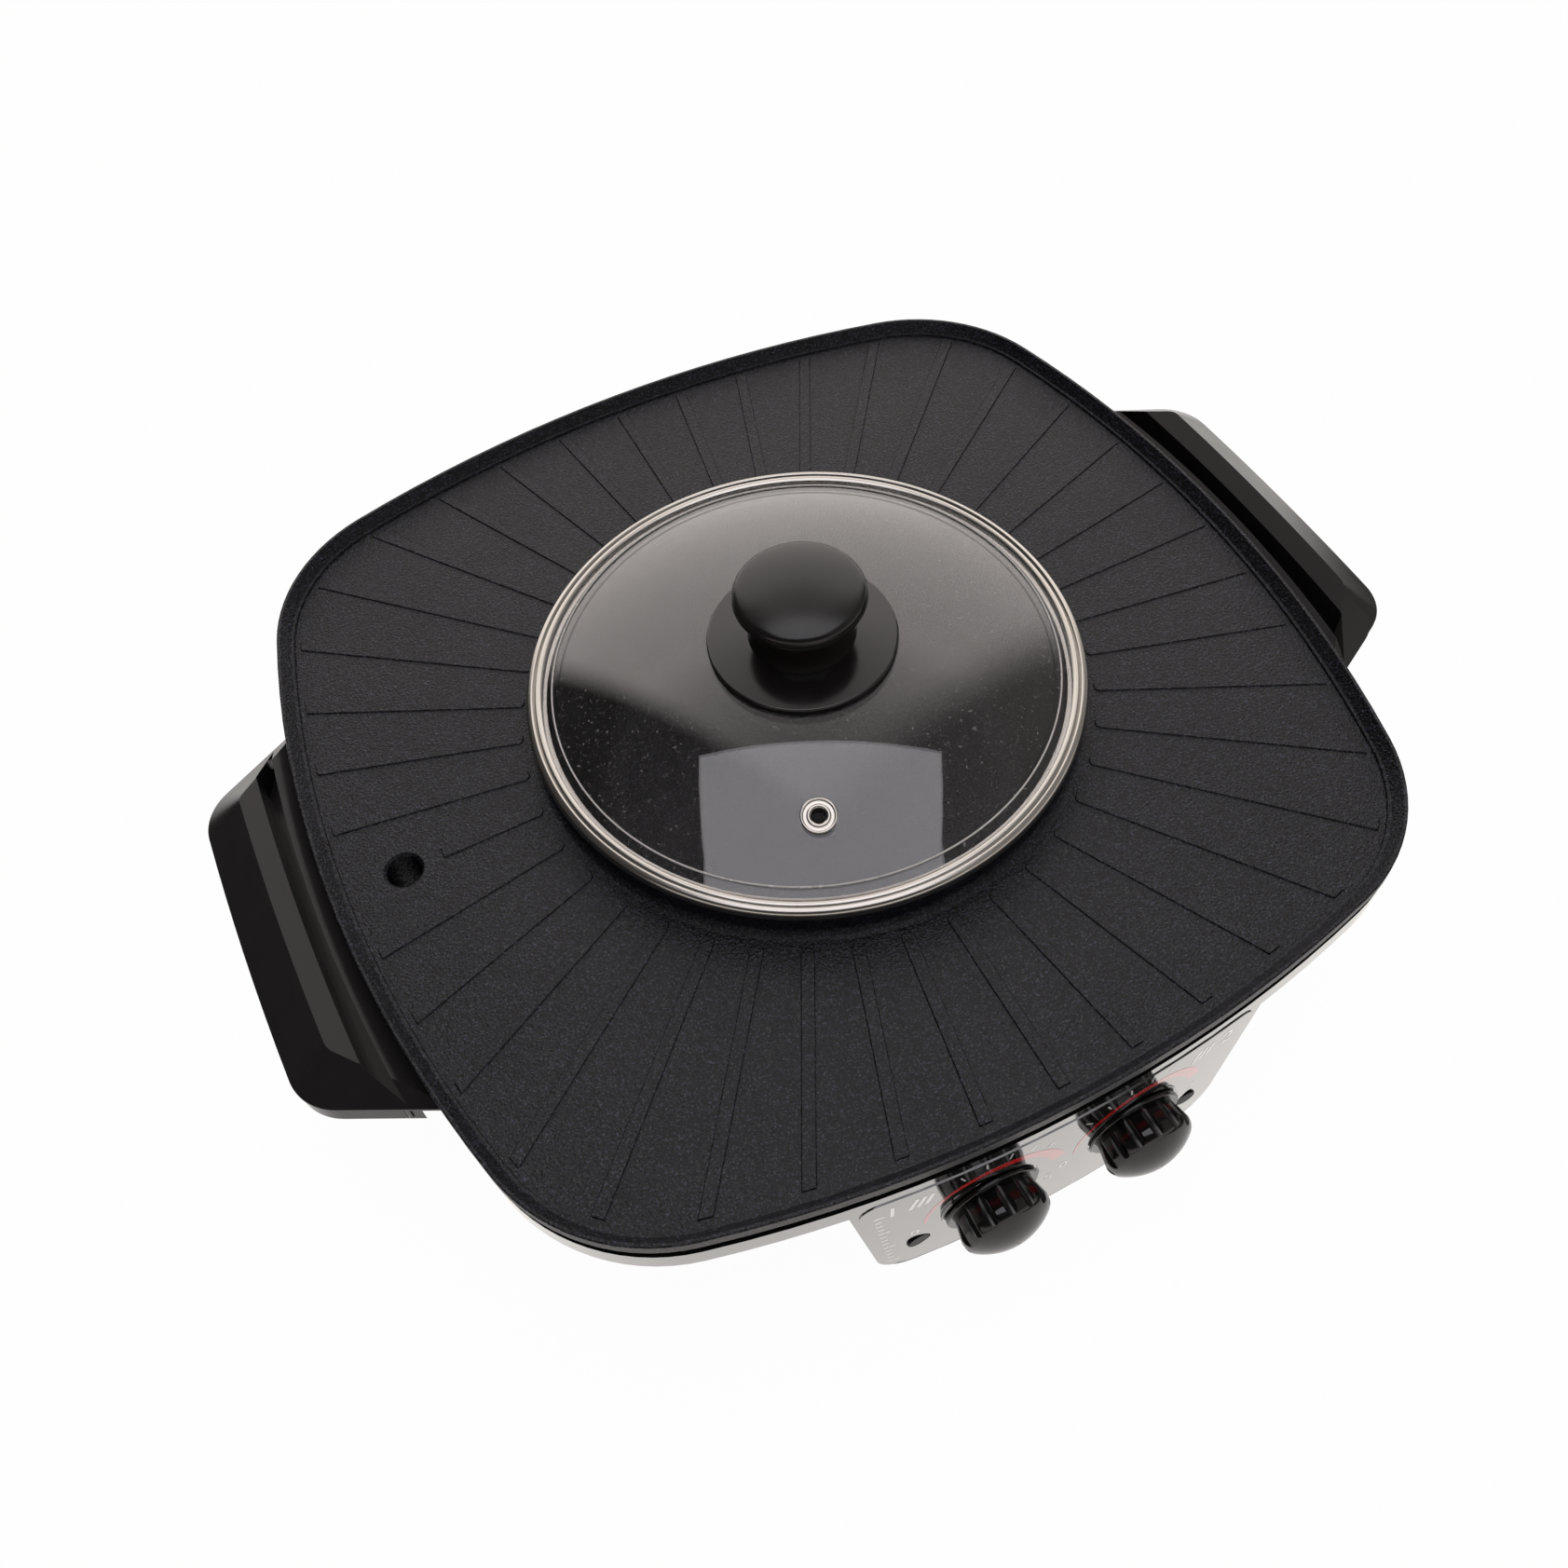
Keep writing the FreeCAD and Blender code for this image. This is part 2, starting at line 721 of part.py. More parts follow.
def nose_face(margin, foot_margin, corner, top_corner, top_z, y):
    # The control panel's face: a rounded trapezoid, wider at the top.
    foot_z = foot_height + foot_margin
    spread = (nose_half_top - nose_half_foot) / (band_bottom_z - foot_height)

    def half_at(z):
        return nose_half_foot - margin + (z - foot_height) * spread

    points = [
        Vector(-half_at(foot_z), y, foot_z),
        Vector(half_at(foot_z), y, foot_z),
        Vector(half_at(top_z), y, top_z),
        Vector(-half_at(top_z), y, top_z),
        Vector(-half_at(foot_z), y, foot_z),
    ]
    block = Part.Face(Part.makePolygon(points)).extrude(Vector(0, 1, 0) * far)
    low = [edge for edge in edges_along(block, Y_AXIS) if edge.BoundBox.ZMax < foot_z + spare]
    block = block.makeFillet(corner, low)
    if top_corner:
        high = [edge for edge in edges_along(block, Y_AXIS) if edge.BoundBox.ZMin > top_z - spare]
        block = block.makeFillet(top_corner, high)
    return block


def nose(inset, margin, foot_margin, corner):
    block = nose_face(margin, foot_margin, corner, 0, band_bottom_z + 2 * spare, -far)
    reach = box(-far, far, -far, -(plate_half_depth - nose_depth), 0, far)
    layer = slab(inset, foot_height + foot_margin, band_bottom_z + 2 * spare)
    return block.common(layer).common(reach)


def shell_form(grow, band_soft):
    # The outside of the base with grow 0, or its hollow with grow set to the wall.
    band_low = band_bottom_z + grow
    band = slab(shell_inset + grow, band_low, seat_z)
    if band_soft:
        band = band.makeFillet(band_round, edges_at_z(band, band_low))
    shelf_low = shelf_z + grow
    shelf = taper(shelf_inset + grow, shelf_low, shell_inset + band_round + grow, band_low)
    body = taper(body_foot_inset + grow, foot_height, shelf_inset + grow, shelf_low)
    front = nose(shell_inset + grow, grow, 0, nose_corner_round - grow)
    return union(band, shelf, body, front, rear_box(grow))


def knob_places():
    return (-knob_spacing / 2, knob_spacing / 2)


def lamp_places():
    return (-lamp_spacing / 2, lamp_spacing / 2)


def lamp_face_y(x):
    # The panel's surface at a lamp.
    radius = front_bulge_radius - shell_inset
    return -(front_centre_y + math.sqrt(radius ** 2 - x ** 2))


def lamp_flange_place(x):
    return Vector(x, lamp_face_y(x) + shell_wall + lamp_flange_setback, lamp_z)


def handle_screw_frames():
    # Where the handle screws cross the shell: a point on the band and the outward direction.
    frames = []
    reach = side_bulge_radius - shell_inset
    for sx in (-1, 1):
        for sy in (-1, 1):
            turn = math.asin(grip_screw_y / reach)
            out = Vector(sx * math.cos(turn), sy * math.sin(turn), 0)
            point = Vector(sx * side_centre_x, 0, rim_z - grip_screw_drop) + out * reach
            frames.append((point, out))
    return frames


def rear_box(grow):
    # The housing at the back that carries the mains inlet.
    half = rear_box_width / 2 - grow
    front = plate_half_depth - nose_depth
    block = box(-half, half, front, rear_box_y - grow, foot_height, band_bottom_z + 2 * spare)
    back = [edge for edge in edges_along(block, Z_AXIS) if edge.BoundBox.YMin > rear_box_y - grow - spare]
    return block.makeFillet(rear_box_round - grow, back)


def base_shell():
    shell = shell_form(0, True).cut(shell_form(shell_wall, False))
    ledge_inset = shell_inset + shell_wall + ledge_reach
    ledge = slab(shell_inset + shell_wall / 2, seat_z - ledge_thickness, seat_z)
    ledge = ledge.cut(slab(ledge_inset, seat_z - 2 * ledge_thickness, seat_z + spare))
    shell = shell.fuse(ledge)
    shell = shell.cut(box(-far, far, -far, far, -far, shell_z))
    for x in knob_places():
        centre = Vector(x, knob_seat_y, knob_z)
        shell = shell.cut(rod(knob_seat_radius, far, centre, Y_AXIS * -1))
        shell = shell.fuse(rod(knob_seat_radius, shell_wall, centre, Y_AXIS))
        pocket = Vector(x, panel_inner_y, knob_z)
        shell = shell.cut(rod(thermostat_pocket_radius, 2 * shell_wall, pocket, Y_AXIS))
        through = centre - Y_AXIS * shell_wall
        shell = shell.cut(rod(shaft_radius + shaft_hole_clearance, 4 * shell_wall, through, Y_AXIS))
        for side in (-1, 1):
            spot = centre + X_AXIS * (side * control_screw_spacing / 2)
            hole_radius = control_screw_radius + screw_clearance
            shell = shell.cut(rod(hole_radius, 4 * shell_wall, spot - Y_AXIS * shell_wall, Y_AXIS))
            depth = control_screw_head - control_screw_radius
            sink = Part.makeCone(control_screw_head + screw_clearance, hole_radius, depth, spot, Y_AXIS)
            shell = shell.cut(sink)
    for x in lamp_places():
        front = Vector(x, lamp_face_y(x) - lamp_proud, lamp_z)
        shell = shell.cut(rod(lamp_radius + lamp_clearance, lamp_body_length, front, Y_AXIS))
        shell = shell.cut(rod(lamp_flange_radius, lamp_body_length, lamp_flange_place(x), Y_AXIS))
    spout_hole = drain_radius + spout_wall + spout_clearance
    shell = shell.cut(rod(spout_hole, far, Vector(drain_x, 0, 0), Z_AXIS))
    for point, out in handle_screw_frames():
        start = point - out * (2 * shell_wall)
        shell = shell.cut(rod(grip_screw_radius + screw_clearance, 4 * shell_wall, start, out))
        room = grip_screw_head_height + 2 * screw_clearance
        start = point - out * (shell_wall + room)
        shell = shell.cut(rod(grip_screw_head + screw_clearance, room, start, out))
    mouth_w = inlet_shroud_width / 2 + inlet_clearance
    mouth_h = inlet_shroud_height / 2 + inlet_clearance
    back_y = rear_box_y - 2 * shell_wall
    shell = shell.cut(box(-mouth_w, mouth_w, back_y, far, inlet_z - mouth_h, inlet_z + mouth_h))
    for side in (-1, 1):
        spot = Vector(side * inlet_screw_spacing / 2, back_y, inlet_z)
        shell = shell.cut(rod(inlet_screw_radius + screw_clearance, 4 * shell_wall, spot, Y_AXIS))
    return solid_of(shell)


def cover_form():
    return shell_form(0, True).common(box(-far, far, -far, far, cover_z, shell_z))


def locating_rib():
    # A low wall on the cover, just inside the shell.
    outer = shell_form(shell_wall + lip_fit_clearance, False)
    inner = shell_form(shell_wall + lip_fit_clearance + locating_rib_width, False)
    level = box(-far, far, -far, far, shell_z - spare, shell_z + locating_rib_height)
    return outer.cut(inner).common(level)


def bottom_cover():
    cover = union(cover_form(), locating_rib())
    for sx in (-1, 1):
        for sy in (-1, 1):
            foot = Vector(sx * post_x, sy * post_y, cover_z)
            cover = cover.fuse(rod(pillar_radius, post_foot_z - cover_z, foot, Z_AXIS))
            cover = cover.fuse(rod(pillar_shoulder_radius, shield_z - cover_z, foot, Z_AXIS))
    for sx in (-1, 1):
        for sy in (-1, 1):
            foot = Vector(sx * post_x, sy * post_y, cover_z)
            cover = cover.cut(rod(pillar_bore, post_foot_z - pillar_floor - cover_z, foot, Z_AXIS))
            cover = cover.cut(rod(case_screw_radius + screw_clearance, far, foot, Z_AXIS))
            stem = Vector(sx * foot_x, sy * foot_y, 0)
            cover = cover.cut(rod(foot_stem_radius + foot_stem_clearance, far, stem, Z_AXIS))
    long = vent_length / 2
    wide = vent_width / 2
    for index in range(vent_count):
        y = (index - (vent_count - 1) / 2.0) * vent_pitch
        cover = cover.cut(box(-long, long, y - wide, y + wide, 0, shell_z + spare))
    cover = cover.fuse(block_bed())
    return solid_of(cover)


def block_bed():
    # A raised bed that carries the terminal block.
    half = block_width / 2
    top = shield_z + shield_thickness + block_gap
    return box(-half, half, block_y - block_depth / 2, block_y + block_depth / 2, shell_z - spare, top)


def foot(sx, sy):
    place = Vector(sx * foot_x, sy * foot_y, 0)
    pad = Part.makeCone(foot_tip_radius, foot_radius, foot_height, place, Z_AXIS)
    stem = rod(foot_stem_radius, cover_wall, place + Z_AXIS * foot_height, Z_AXIS)
    head = Part.makeCone(foot_head_radius, foot_stem_tip, foot_head_height, place + Z_AXIS * shell_z, Z_AXIS)
    return solid_of(union(pad, stem, head))


def pan_screw(place, direction, head_radius, head_height, radius, length):
    # A screw whose head sits against place and whose shank runs along direction.
    head = rod(head_radius, head_height, place - direction * head_height, direction)
    top = place - direction * head_height
    rim = []
    for edge in head.Edges:
        round_edge = edge.Curve.TypeId == "Part::GeomCircle"
        if round_edge and abs((edge.CenterOfMass - top).dot(direction)) < near_enough:
            rim.append(edge)
    head = head.makeFillet(head_height * head_round_share, rim)
    deep = head_height * cross_depth_share
    long = head_radius * cross_length_share
    wide = head_radius * cross_width_share
    side = Vector(1, 0, 0)
    if abs(direction.z) < 1 - near_enough:
        side = direction.cross(Z_AXIS).normalize()
    other = direction.cross(side).normalize()
    for a, b in ((side, other), (other, side)):
        corner = top - a * (long / 2) - b * (wide / 2) - direction * deep
        points = [corner, corner + a * long, corner + a * long + b * wide, corner + b * wide, corner]
        head = head.cut(Part.Face(Part.makePolygon(points)).extrude(direction * (2 * deep)))
    return solid_of(head.fuse(rod(radius, length, place, direction)))


def case_screws():
    screws = []
    for sx in (-1, 1):
        for sy in (-1, 1):
            seat = Vector(sx * post_x, sy * post_y, post_foot_z - pillar_floor)
            length = pillar_floor + case_screw_bite
            screws.append(pan_screw(seat, Z_AXIS, case_screw_head, case_screw_head_height,
                                    case_screw_radius, length))
    return Part.makeCompound(screws)


def heat_shield():
    half_x = plate_half_width - shield_inset
    half_y = plate_half_depth - shield_inset
    plate = box(-half_x, half_x, -half_y, half_y, shield_z, shield_z + shield_thickness)
    plate = plate.makeFillet(shield_corner, edges_along(plate, Z_AXIS))
    for sx in (-1, 1):
        for sy in (-1, 1):
            place = Vector(sx * post_x, sy * post_y, shield_z)
            plate = plate.fuse(rod(pillar_shoulder_radius, shield_thickness, place, Z_AXIS))
    for sx in (-1, 1):
        for sy in (-1, 1):
            place = Vector(sx * post_x, sy * post_y, 0)
            plate = plate.cut(rod(pillar_radius + shield_hole_clearance, far, place, Z_AXIS))
    half = block_width / 2 + shield_hole_clearance
    deep = block_depth / 2 + shield_hole_clearance
    plate = plate.cut(box(-half, half, block_y - deep, block_y + deep, 0, far))
    return solid_of(plate)


# ---------------------------------------------------------------- controls

def panel_film():
    top_z = rim_z - film_top_drop
    face = nose_face(film_margin, film_foot_margin, film_corner_round, film_top_corner_round, top_z, -far)
    skin = slab(shell_inset - film_thickness, foot_height, seat_z).cut(slab(shell_inset, foot_height, seat_z))
    film = skin.common(face).common(box(-far, far, -far, 0, 0, far))
    for x in knob_places():
        film = film.cut(rod(knob_seat_radius + film_hole_clearance, far, Vector(x, 0, knob_z), Y_AXIS * -1))
    for x in lamp_places():
        film = film.cut(rod(lamp_radius + film_hole_clearance, far, Vector(x, 0, lamp_z), Y_AXIS * -1))
    return solid_of(film)


def control_knob(x):
    # Drawn upright round the Z axis, then laid down so that its face looks at the user.
    flange_top = knob_flange_thickness
    body_top = flange_top + knob_body_length
    dome_top = body_top + knob_dome_height
    flange_soft = knob_flange_round
    edges = [
        line((0, 0), (knob_flange_radius - flange_soft, 0)),
        quarter((knob_flange_radius - flange_soft, flange_soft), flange_soft, -90, 0),
        line((knob_flange_radius, flange_soft), (knob_flange_radius, flange_top - flange_soft)),
        quarter((knob_flange_radius - flange_soft, flange_top - flange_soft), flange_soft, 0, 90),
        line((knob_flange_radius - flange_soft, flange_top), (knob_waist_radius, flange_top)),
        line((knob_waist_radius, flange_top), (knob_body_radius, body_top)),
        line((0, dome_top), (0, 0)),
    ]
    edges[6:6] = domed_top(knob_body_radius, knob_dome_round, body_top, dome_top, 0)
    knob = revolved(edges)
    for index in range(flute_count):
        turn = math.radians((index + 0.5) * 360.0 / flute_count)
        out = Vector(math.cos(turn), math.sin(turn), 0)
        start = out * (knob_waist_radius + flute_radius) + Z_AXIS * flange_top
        end = out * (knob_body_radius + flute_radius - flute_depth) + Z_AXIS * body_top
        along = end - start
        knob = knob.cut(rod(flute_radius, along.Length * flute_overrun, start, along))
    hollow = rod(knob_waist_radius - knob_wall, body_top - knob_wall, Vector(0, 0, 0), Z_AXIS)
    hollow = hollow.cut(rod(knob_hub_radius, body_top, Vector(0, 0, 0), Z_AXIS))
    knob = knob.cut(hollow)
    bore = rod(shaft_radius + shaft_fit, shaft_in_knob + shaft_fit, Vector(0, 0, 0), Z_AXIS)
    flat = box(shaft_radius - shaft_flat + shaft_fit, far, -far, far, 0, far)
    knob = solid_of(knob.cut(bore.cut(flat)))
    knob.rotate(Vector(0, 0, 0), X_AXIS, 90)
    knob.translate(Vector(x, knob_back_y, knob_z))
    return knob


def control_shaft(x):
    reach = shaft_in_knob + (panel_inner_y - knob_back_y) + thermostat_seat_gap + shaft_in_thermostat
    shaft = rod(shaft_radius, reach, Vector(0, 0, 0), Z_AXIS)
    flat = box(shaft_radius - shaft_flat, far, -far, far, -spare, shaft_in_knob)
    shaft = solid_of(shaft.cut(flat))
    shaft.rotate(Vector(0, 0, 0), X_AXIS, -90)
    shaft.translate(Vector(x, knob_back_y - shaft_in_knob, knob_z))
    return shaft


def thermostat(x):
    front = panel_inner_y + thermostat_seat_gap
    half_w = thermostat_plate_width / 2
    half_h = thermostat_plate_height / 2
    plate = box(x - half_w, x + half_w, front, front + thermostat_plate, knob_z - half_h, knob_z + half_h)
    drum = rod(thermostat_radius, thermostat_length, Vector(x, front, knob_z), Y_AXIS)
    part = plate.fuse(drum)
    back = front + thermostat_length
    for side in (-1, 1):
        middle = x + side * blade_offset
        blade = box(middle - blade_thickness / 2, middle + blade_thickness / 2,
                    back - spare, back + blade_length,
                    knob_z - blade_width / 2, knob_z + blade_width / 2)
        part = part.fuse(blade)
    depth = shaft_in_thermostat + shaft_fit
    part = part.cut(rod(shaft_radius + shaft_fit, depth, Vector(x, front, knob_z), Y_AXIS))
    for side in (-1, 1):
        spot = Vector(x + side * control_screw_spacing / 2, front - spare, knob_z)
        part = part.cut(rod(control_screw_radius + shaft_fit, control_screw_length + spare, spot, Y_AXIS))
    return solid_of(part)


def control_screws():
    screws = []
    for x in knob_places():
        for side in (-1, 1):
            seat = Vector(x + side * control_screw_spacing / 2, knob_seat_y, knob_z)
            depth = control_screw_head - control_screw_radius
            head = Part.makeCone(control_screw_head, control_screw_radius, depth, seat, Y_AXIS)
            shank = rod(control_screw_radius, control_screw_length, seat, Y_AXIS)
            slot = box(seat.x - control_screw_head, seat.x + control_screw_head,
                       seat.y - spare, seat.y + control_screw_slot_depth,
                       seat.z - control_screw_slot / 2, seat.z + control_screw_slot / 2)
            screws.append(solid_of(head.fuse(shank).cut(slot)))
    return Part.makeCompound(screws)


def lamp(x):
    face = lamp_face_y(x)
    lens_length = lamp_proud + shell_wall + lamp_flange_setback
    lens = rod(lamp_radius, lens_length, Vector(x, face - lamp_proud, lamp_z), Y_AXIS)
    front = [edge for edge in lens.Edges if abs(edge.BoundBox.YMax - (face - lamp_proud)) < near_enough]
    lens = lens.makeFillet(lamp_round, front)
    flange_start = lamp_flange_place(x) + Y_AXIS * lamp_flange_gap
    flange = rod(lamp_flange_radius - lamp_clearance, lamp_flange, flange_start, Y_AXIS)
    body = rod(lamp_body_radius, lamp_body_length, Vector(x, face, lamp_z), Y_AXIS)
    part = union(lens, flange, body)
    for side in (-1, 1):
        start = Vector(x + side * lamp_wire_offset, face + lamp_body_length - spare, lamp_z)
        part = part.fuse(rod(lamp_wire_radius, lamp_wire_length, start, Y_AXIS))
    return solid_of(part)


# ---------------------------------------------------------------- side handles

def grip_prism(inset, z0, z1):
    # The handle's plan, drawn on the right side and rounded at its two corners.
    reach = grip_reach - inset
    start_x = plate_half_width - grip_root
    shift = inset * math.hypot(1.0, grip_end_slope)
    corner_y = grip_end_y + grip_end_slope * inset - shift
    start_y = corner_y + grip_end_slope * (reach - start_x)
    a = Vector(start_x, -start_y, z0)
    b = Vector(reach - grip_bulge, -corner_y, z0)
    c = Vector(reach, 0, z0)
    d = Vector(reach - grip_bulge, corner_y, z0)
    e = Vector(start_x, start_y, z0)
    wire = Part.Wire([
        Part.LineSegment(a, b).toShape(),
        Part.Arc(b, c, d).toShape(),
        Part.LineSegment(d, e).toShape(),
        Part.LineSegment(e, a).toShape(),
    ])
    block = Part.Face(wire).extrude(Vector(0, 0, z1 - z0))
    corners = [edge for edge in edges_along(block, Z_AXIS) if edge.BoundBox.XMin > start_x + spare]
    return block.makeFillet(grip_corner_round - inset, corners)


def outer_edges(shape, z):
    # Edges at height z along the handle's ends, corners and outer side.
    limit = plate_half_width - grip_root + near_enough
    return [edge for edge in edges_at_z(shape, z) if edge.CenterOfMass.x > limit]


def slope_cut(drop):
    # Everything above the inner face, which falls from the crease towards the plate.
    crease_x = grip_reach - grip_bevel
    crease_z = rim_z - grip_crease_drop - drop
    low_x = plate_half_width - 2 * grip_root
    low_z = crease_z - (crease_x - low_x) * lip_slope
    points = [Vector(low_x, -far, low_z), Vector(crease_x, -far, crease_z), Vector(crease_x, -far, far),
              Vector(low_x, -far, far), Vector(low_x, -far, low_z)]
    return Part.Face(Part.makePolygon(points)).extrude(Vector(0, 2 * far, 0))


def grip_wire(inset, z):
    # The outline of the handle's plan at height z.
    block = grip_prism(inset, z, z + spare)
    low = [face for face in block.Faces if face.BoundBox.ZMax < z + near_enough]
    return low[0].OuterWire


def grip_form(wall, foot_z):
    crease_z = rim_z - grip_crease_drop
    bevel_z = crease_z - grip_bevel_drop - wall * grip_foot_share
    top_z = crease_z - wall
    side = grip_prism(wall, foot_z, bevel_z)
    top_wire = grip_wire(grip_bevel + wall * grip_bevel_share, top_z)
    bevel = Part.makeLoft([grip_wire(wall, bevel_z), top_wire], True, True)
    return union(side, bevel).cut(slope_cut(wall * grip_crease_share))


def slot_prism(grow, z0, z1):
    inner = slot_inner_x - grow
    outer = slot_outer_x + grow
    corner_x = slot_outer_x - slot_outer_bulge + grow
    end = slot_end_y + grow * slot_end_growth
    corner_y = slot_corner_y + grow
    a = Vector(slot_end_x, -end, z0)
    b = Vector(corner_x, -corner_y, z0)
    c = Vector(outer, 0, z0)
    d = Vector(corner_x, corner_y, z0)
    e = Vector(slot_end_x, end, z0)
    f = Vector(inner, 0, z0)
    wire = Part.Wire([
        Part.LineSegment(a, b).toShape(),
        Part.Arc(b, c, d).toShape(),
        Part.LineSegment(d, e).toShape(),
        Part.Arc(e, f, a).toShape(),
    ])
    return Part.Face(wire).extrude(Vector(0, 0, z1 - z0))


def mount_flange(z0, z1, grow):
    # The wall that stands against the shell's band and takes the handle's screws.
    near = shell_inset - grip_gap
    wall = slab(near - flange_thickness - grow, z0, z1).cut(slab(near, z0 - spare, z1 + spare))
    half = flange_half_length + grow
    return wall.common(box(0, far, -half, half, z0, z1))


def cover_bosses(radius, z0, z1):
    bosses = []
    for sy in (-1, 1):
        bosses.append(rod(radius, z1 - z0, Vector(cover_screw_x, sy * cover_screw_y, z0), Z_AXIS))
    return bosses


def side_handle():
    floor_z = rim_z - slot_floor_drop
    outer = grip_form(0, seam_z)
    hollow = grip_form(grip_wall, seam_z - spare)
    hollow = hollow.cut(slot_prism(slot_wall, seam_z - 2 * spare, far))
    keep = slab(shell_inset - grip_gap - flange_thickness, 0, far)
    hollow = hollow.cut(keep)
    handle = outer.cut(hollow)
    well = slot_prism(slot_wall, floor_z - slot_wall, seam_z + spare)
    well = well.common(grip_prism(0, floor_z - slot_wall, seam_z + spare))
    flange = mount_flange(rim_z - flange_foot_drop, seam_z + spare, 0)
    handle = union(handle, well, flange)
    cover_floor = seam_z - grip_cover_depth + grip_cover_wall
    for boss in cover_bosses(cover_boss_radius, cover_floor + grip_gap, rim_z - cover_boss_drop):
        handle = handle.fuse(boss)
    handle = handle.cut(slot_prism(0, floor_z, far))
    handle = handle.cut(slab(shell_inset - grip_gap, 0, far))
    for hole in cover_bosses(cover_screw_radius + grip_screw_fit, 0, cover_floor + cover_screw_bite):
        handle = handle.cut(hole)
    for point, out in handle_screw_frames():
        depth = grip_screw_bite + grip_gap + grip_screw_tip_gap
        handle = handle.cut(rod(grip_screw_radius + grip_screw_fit, depth, point, out))
    return solid_of(handle)


def side_handle_cover():
    foot_z = seam_z - grip_cover_depth
    block = grip_prism(seam_step, foot_z, seam_z)
    block = block.makeFillet(grip_cover_round, outer_edges(block, foot_z))
    inner = grip_prism(seam_step + grip_cover_wall, foot_z + grip_cover_wall, seam_z + spare)
    cover = block.cut(inner)
    cover = cover.cut(slab(shell_inset - grip_gap - flange_thickness - grip_gap, 0, far))
    well_z = rim_z - slot_floor_drop - slot_wall - grip_gap
    cover = cover.cut(slot_prism(slot_wall + grip_gap, well_z, far))
    for hole in cover_bosses(cover_screw_radius + screw_clearance, 0, far):
        cover = cover.cut(hole)
    solids = sorted(cover.Solids, key=lambda piece: piece.Volume)
    return solid_of(solids[-1])


def handle_screws():
    screws = []
    for point, out in handle_screw_frames():
        seat = point - out * (shell_wall + screw_clearance)
        length = shell_wall + screw_clearance + grip_screw_bite
        screws.append(pan_screw(seat, out, grip_screw_head, grip_screw_head_height,
                                grip_screw_radius, length))
    return Part.makeCompound(screws)


def handle_cover_screws():
    screws = []
    foot_z = seam_z - grip_cover_depth
    length = grip_cover_wall + cover_screw_bite - cover_screw_tip_gap
    for sx in (-1, 1):
        for sy in (-1, 1):
            seat = Vector(sx * cover_screw_x, sy * cover_screw_y, foot_z)
            screws.append(pan_screw(seat, Z_AXIS, cover_screw_head, cover_screw_head_height,
                                    cover_screw_radius, length))
    return Part.makeCompound(screws)


# ---------------------------------------------------------------- heaters

def heater_z(underside_z):
    return underside_z - heater_gap - heater_tube_radius


def heater(radius, underside_z):
    tube = Part.makeTorus(radius, heater_tube_radius, Vector(0, 0, heater_z(underside_z)), Z_AXIS, -180, 180,
                          360 - heater_open_angle)
    tube.rotate(Vector(0, 0, 0), Z_AXIS, -90 + heater_open_angle / 2)
    return tube


def heater_ends(radius, underside_z):
    # The two ends of a ring heater, each as a point and the direction in which it points.
    ends = []
    for side in (-1, 1):
        turn = math.radians(-90 + side * heater_open_angle / 2)
        point = Vector(radius * math.cos(turn), radius * math.sin(turn), heater_z(underside_z))
        along = Vector(side * math.sin(turn), -side * math.cos(turn), 0)
        ends.append((point, along))
    return ends


def all_heater_ends():
    return heater_ends(pot_heater_radius, bowl_under_z) + heater_ends(grill_heater_radius, seat_z)


def heater_insulators():
    pieces = []
    for point, along in all_heater_ends():
        sleeve = rod(insulator_radius, insulator_length, point + along * heater_gap, along)
        bore = rod(pin_radius + heater_pin_clearance, insulator_length + 2 * spare, point, along)
        pieces.append(sleeve.cut(bore))
    return Part.makeCompound(pieces)


def heater_pins():
    pieces = []
    for point, along in all_heater_ends():
        pieces.append(rod(pin_radius, insulator_length + pin_length, point + along * heater_gap, along))
    return Part.makeCompound(pieces)


def thermal_fuse():
    z = bowl_under_z - fuse_radius
    return rod(fuse_radius, fuse_length, Vector(fuse_x - fuse_length / 2, fuse_y, z), X_AXIS)


# ---------------------------------------------------------------- mains inlet

def power_inlet():
    face = rear_box_y
    flange = box(-inlet_flange_width / 2, inlet_flange_width / 2, face, face + inlet_flange,
                 inlet_z - inlet_flange_height / 2, inlet_z + inlet_flange_height / 2)
    back = face + inlet_flange + inlet_shroud_reach - inlet_depth - inlet_back_wall
    front = face + inlet_flange + inlet_shroud_reach
    shroud = box(-inlet_shroud_width / 2, inlet_shroud_width / 2, back, front,
                 inlet_z - inlet_shroud_height / 2, inlet_z + inlet_shroud_height / 2)
    shroud = shroud.makeFillet(inlet_shroud_round, edges_along(shroud, Y_AXIS))
    mouth = box(-inlet_mouth_width / 2, inlet_mouth_width / 2, back + inlet_back_wall, far,
                inlet_z - inlet_mouth_height / 2, inlet_z + inlet_mouth_height / 2)
    mouth = mouth.makeFillet(inlet_mouth_round, edges_along(mouth, Y_AXIS))
    part = flange.fuse(shroud).cut(mouth)
    for spot in inlet_pin_places():
        half_w = inlet_pin_thickness / 2 + shaft_fit
        half_h = inlet_pin_width / 2 + shaft_fit
        part = part.cut(box(spot.x - half_w, spot.x + half_w, back - spare, back + inlet_back_wall + spare,
                            spot.z - half_h, spot.z + half_h))
    for side in (-1, 1):
        spot = Vector(side * inlet_screw_spacing / 2, face - spare, inlet_z)
        part = part.cut(rod(inlet_screw_radius + screw_clearance, inlet_flange + 2 * spare, spot, Y_AXIS))
    return solid_of(part)


def inlet_pin_places():
    floor = rear_box_y + inlet_flange + inlet_shroud_reach - inlet_depth
    low = inlet_z - inlet_pin_drop
    return (Vector(-inlet_pin_pitch / 2, floor, low), Vector(inlet_pin_pitch / 2, floor, low),
            Vector(0, floor, low + inlet_earth_rise))


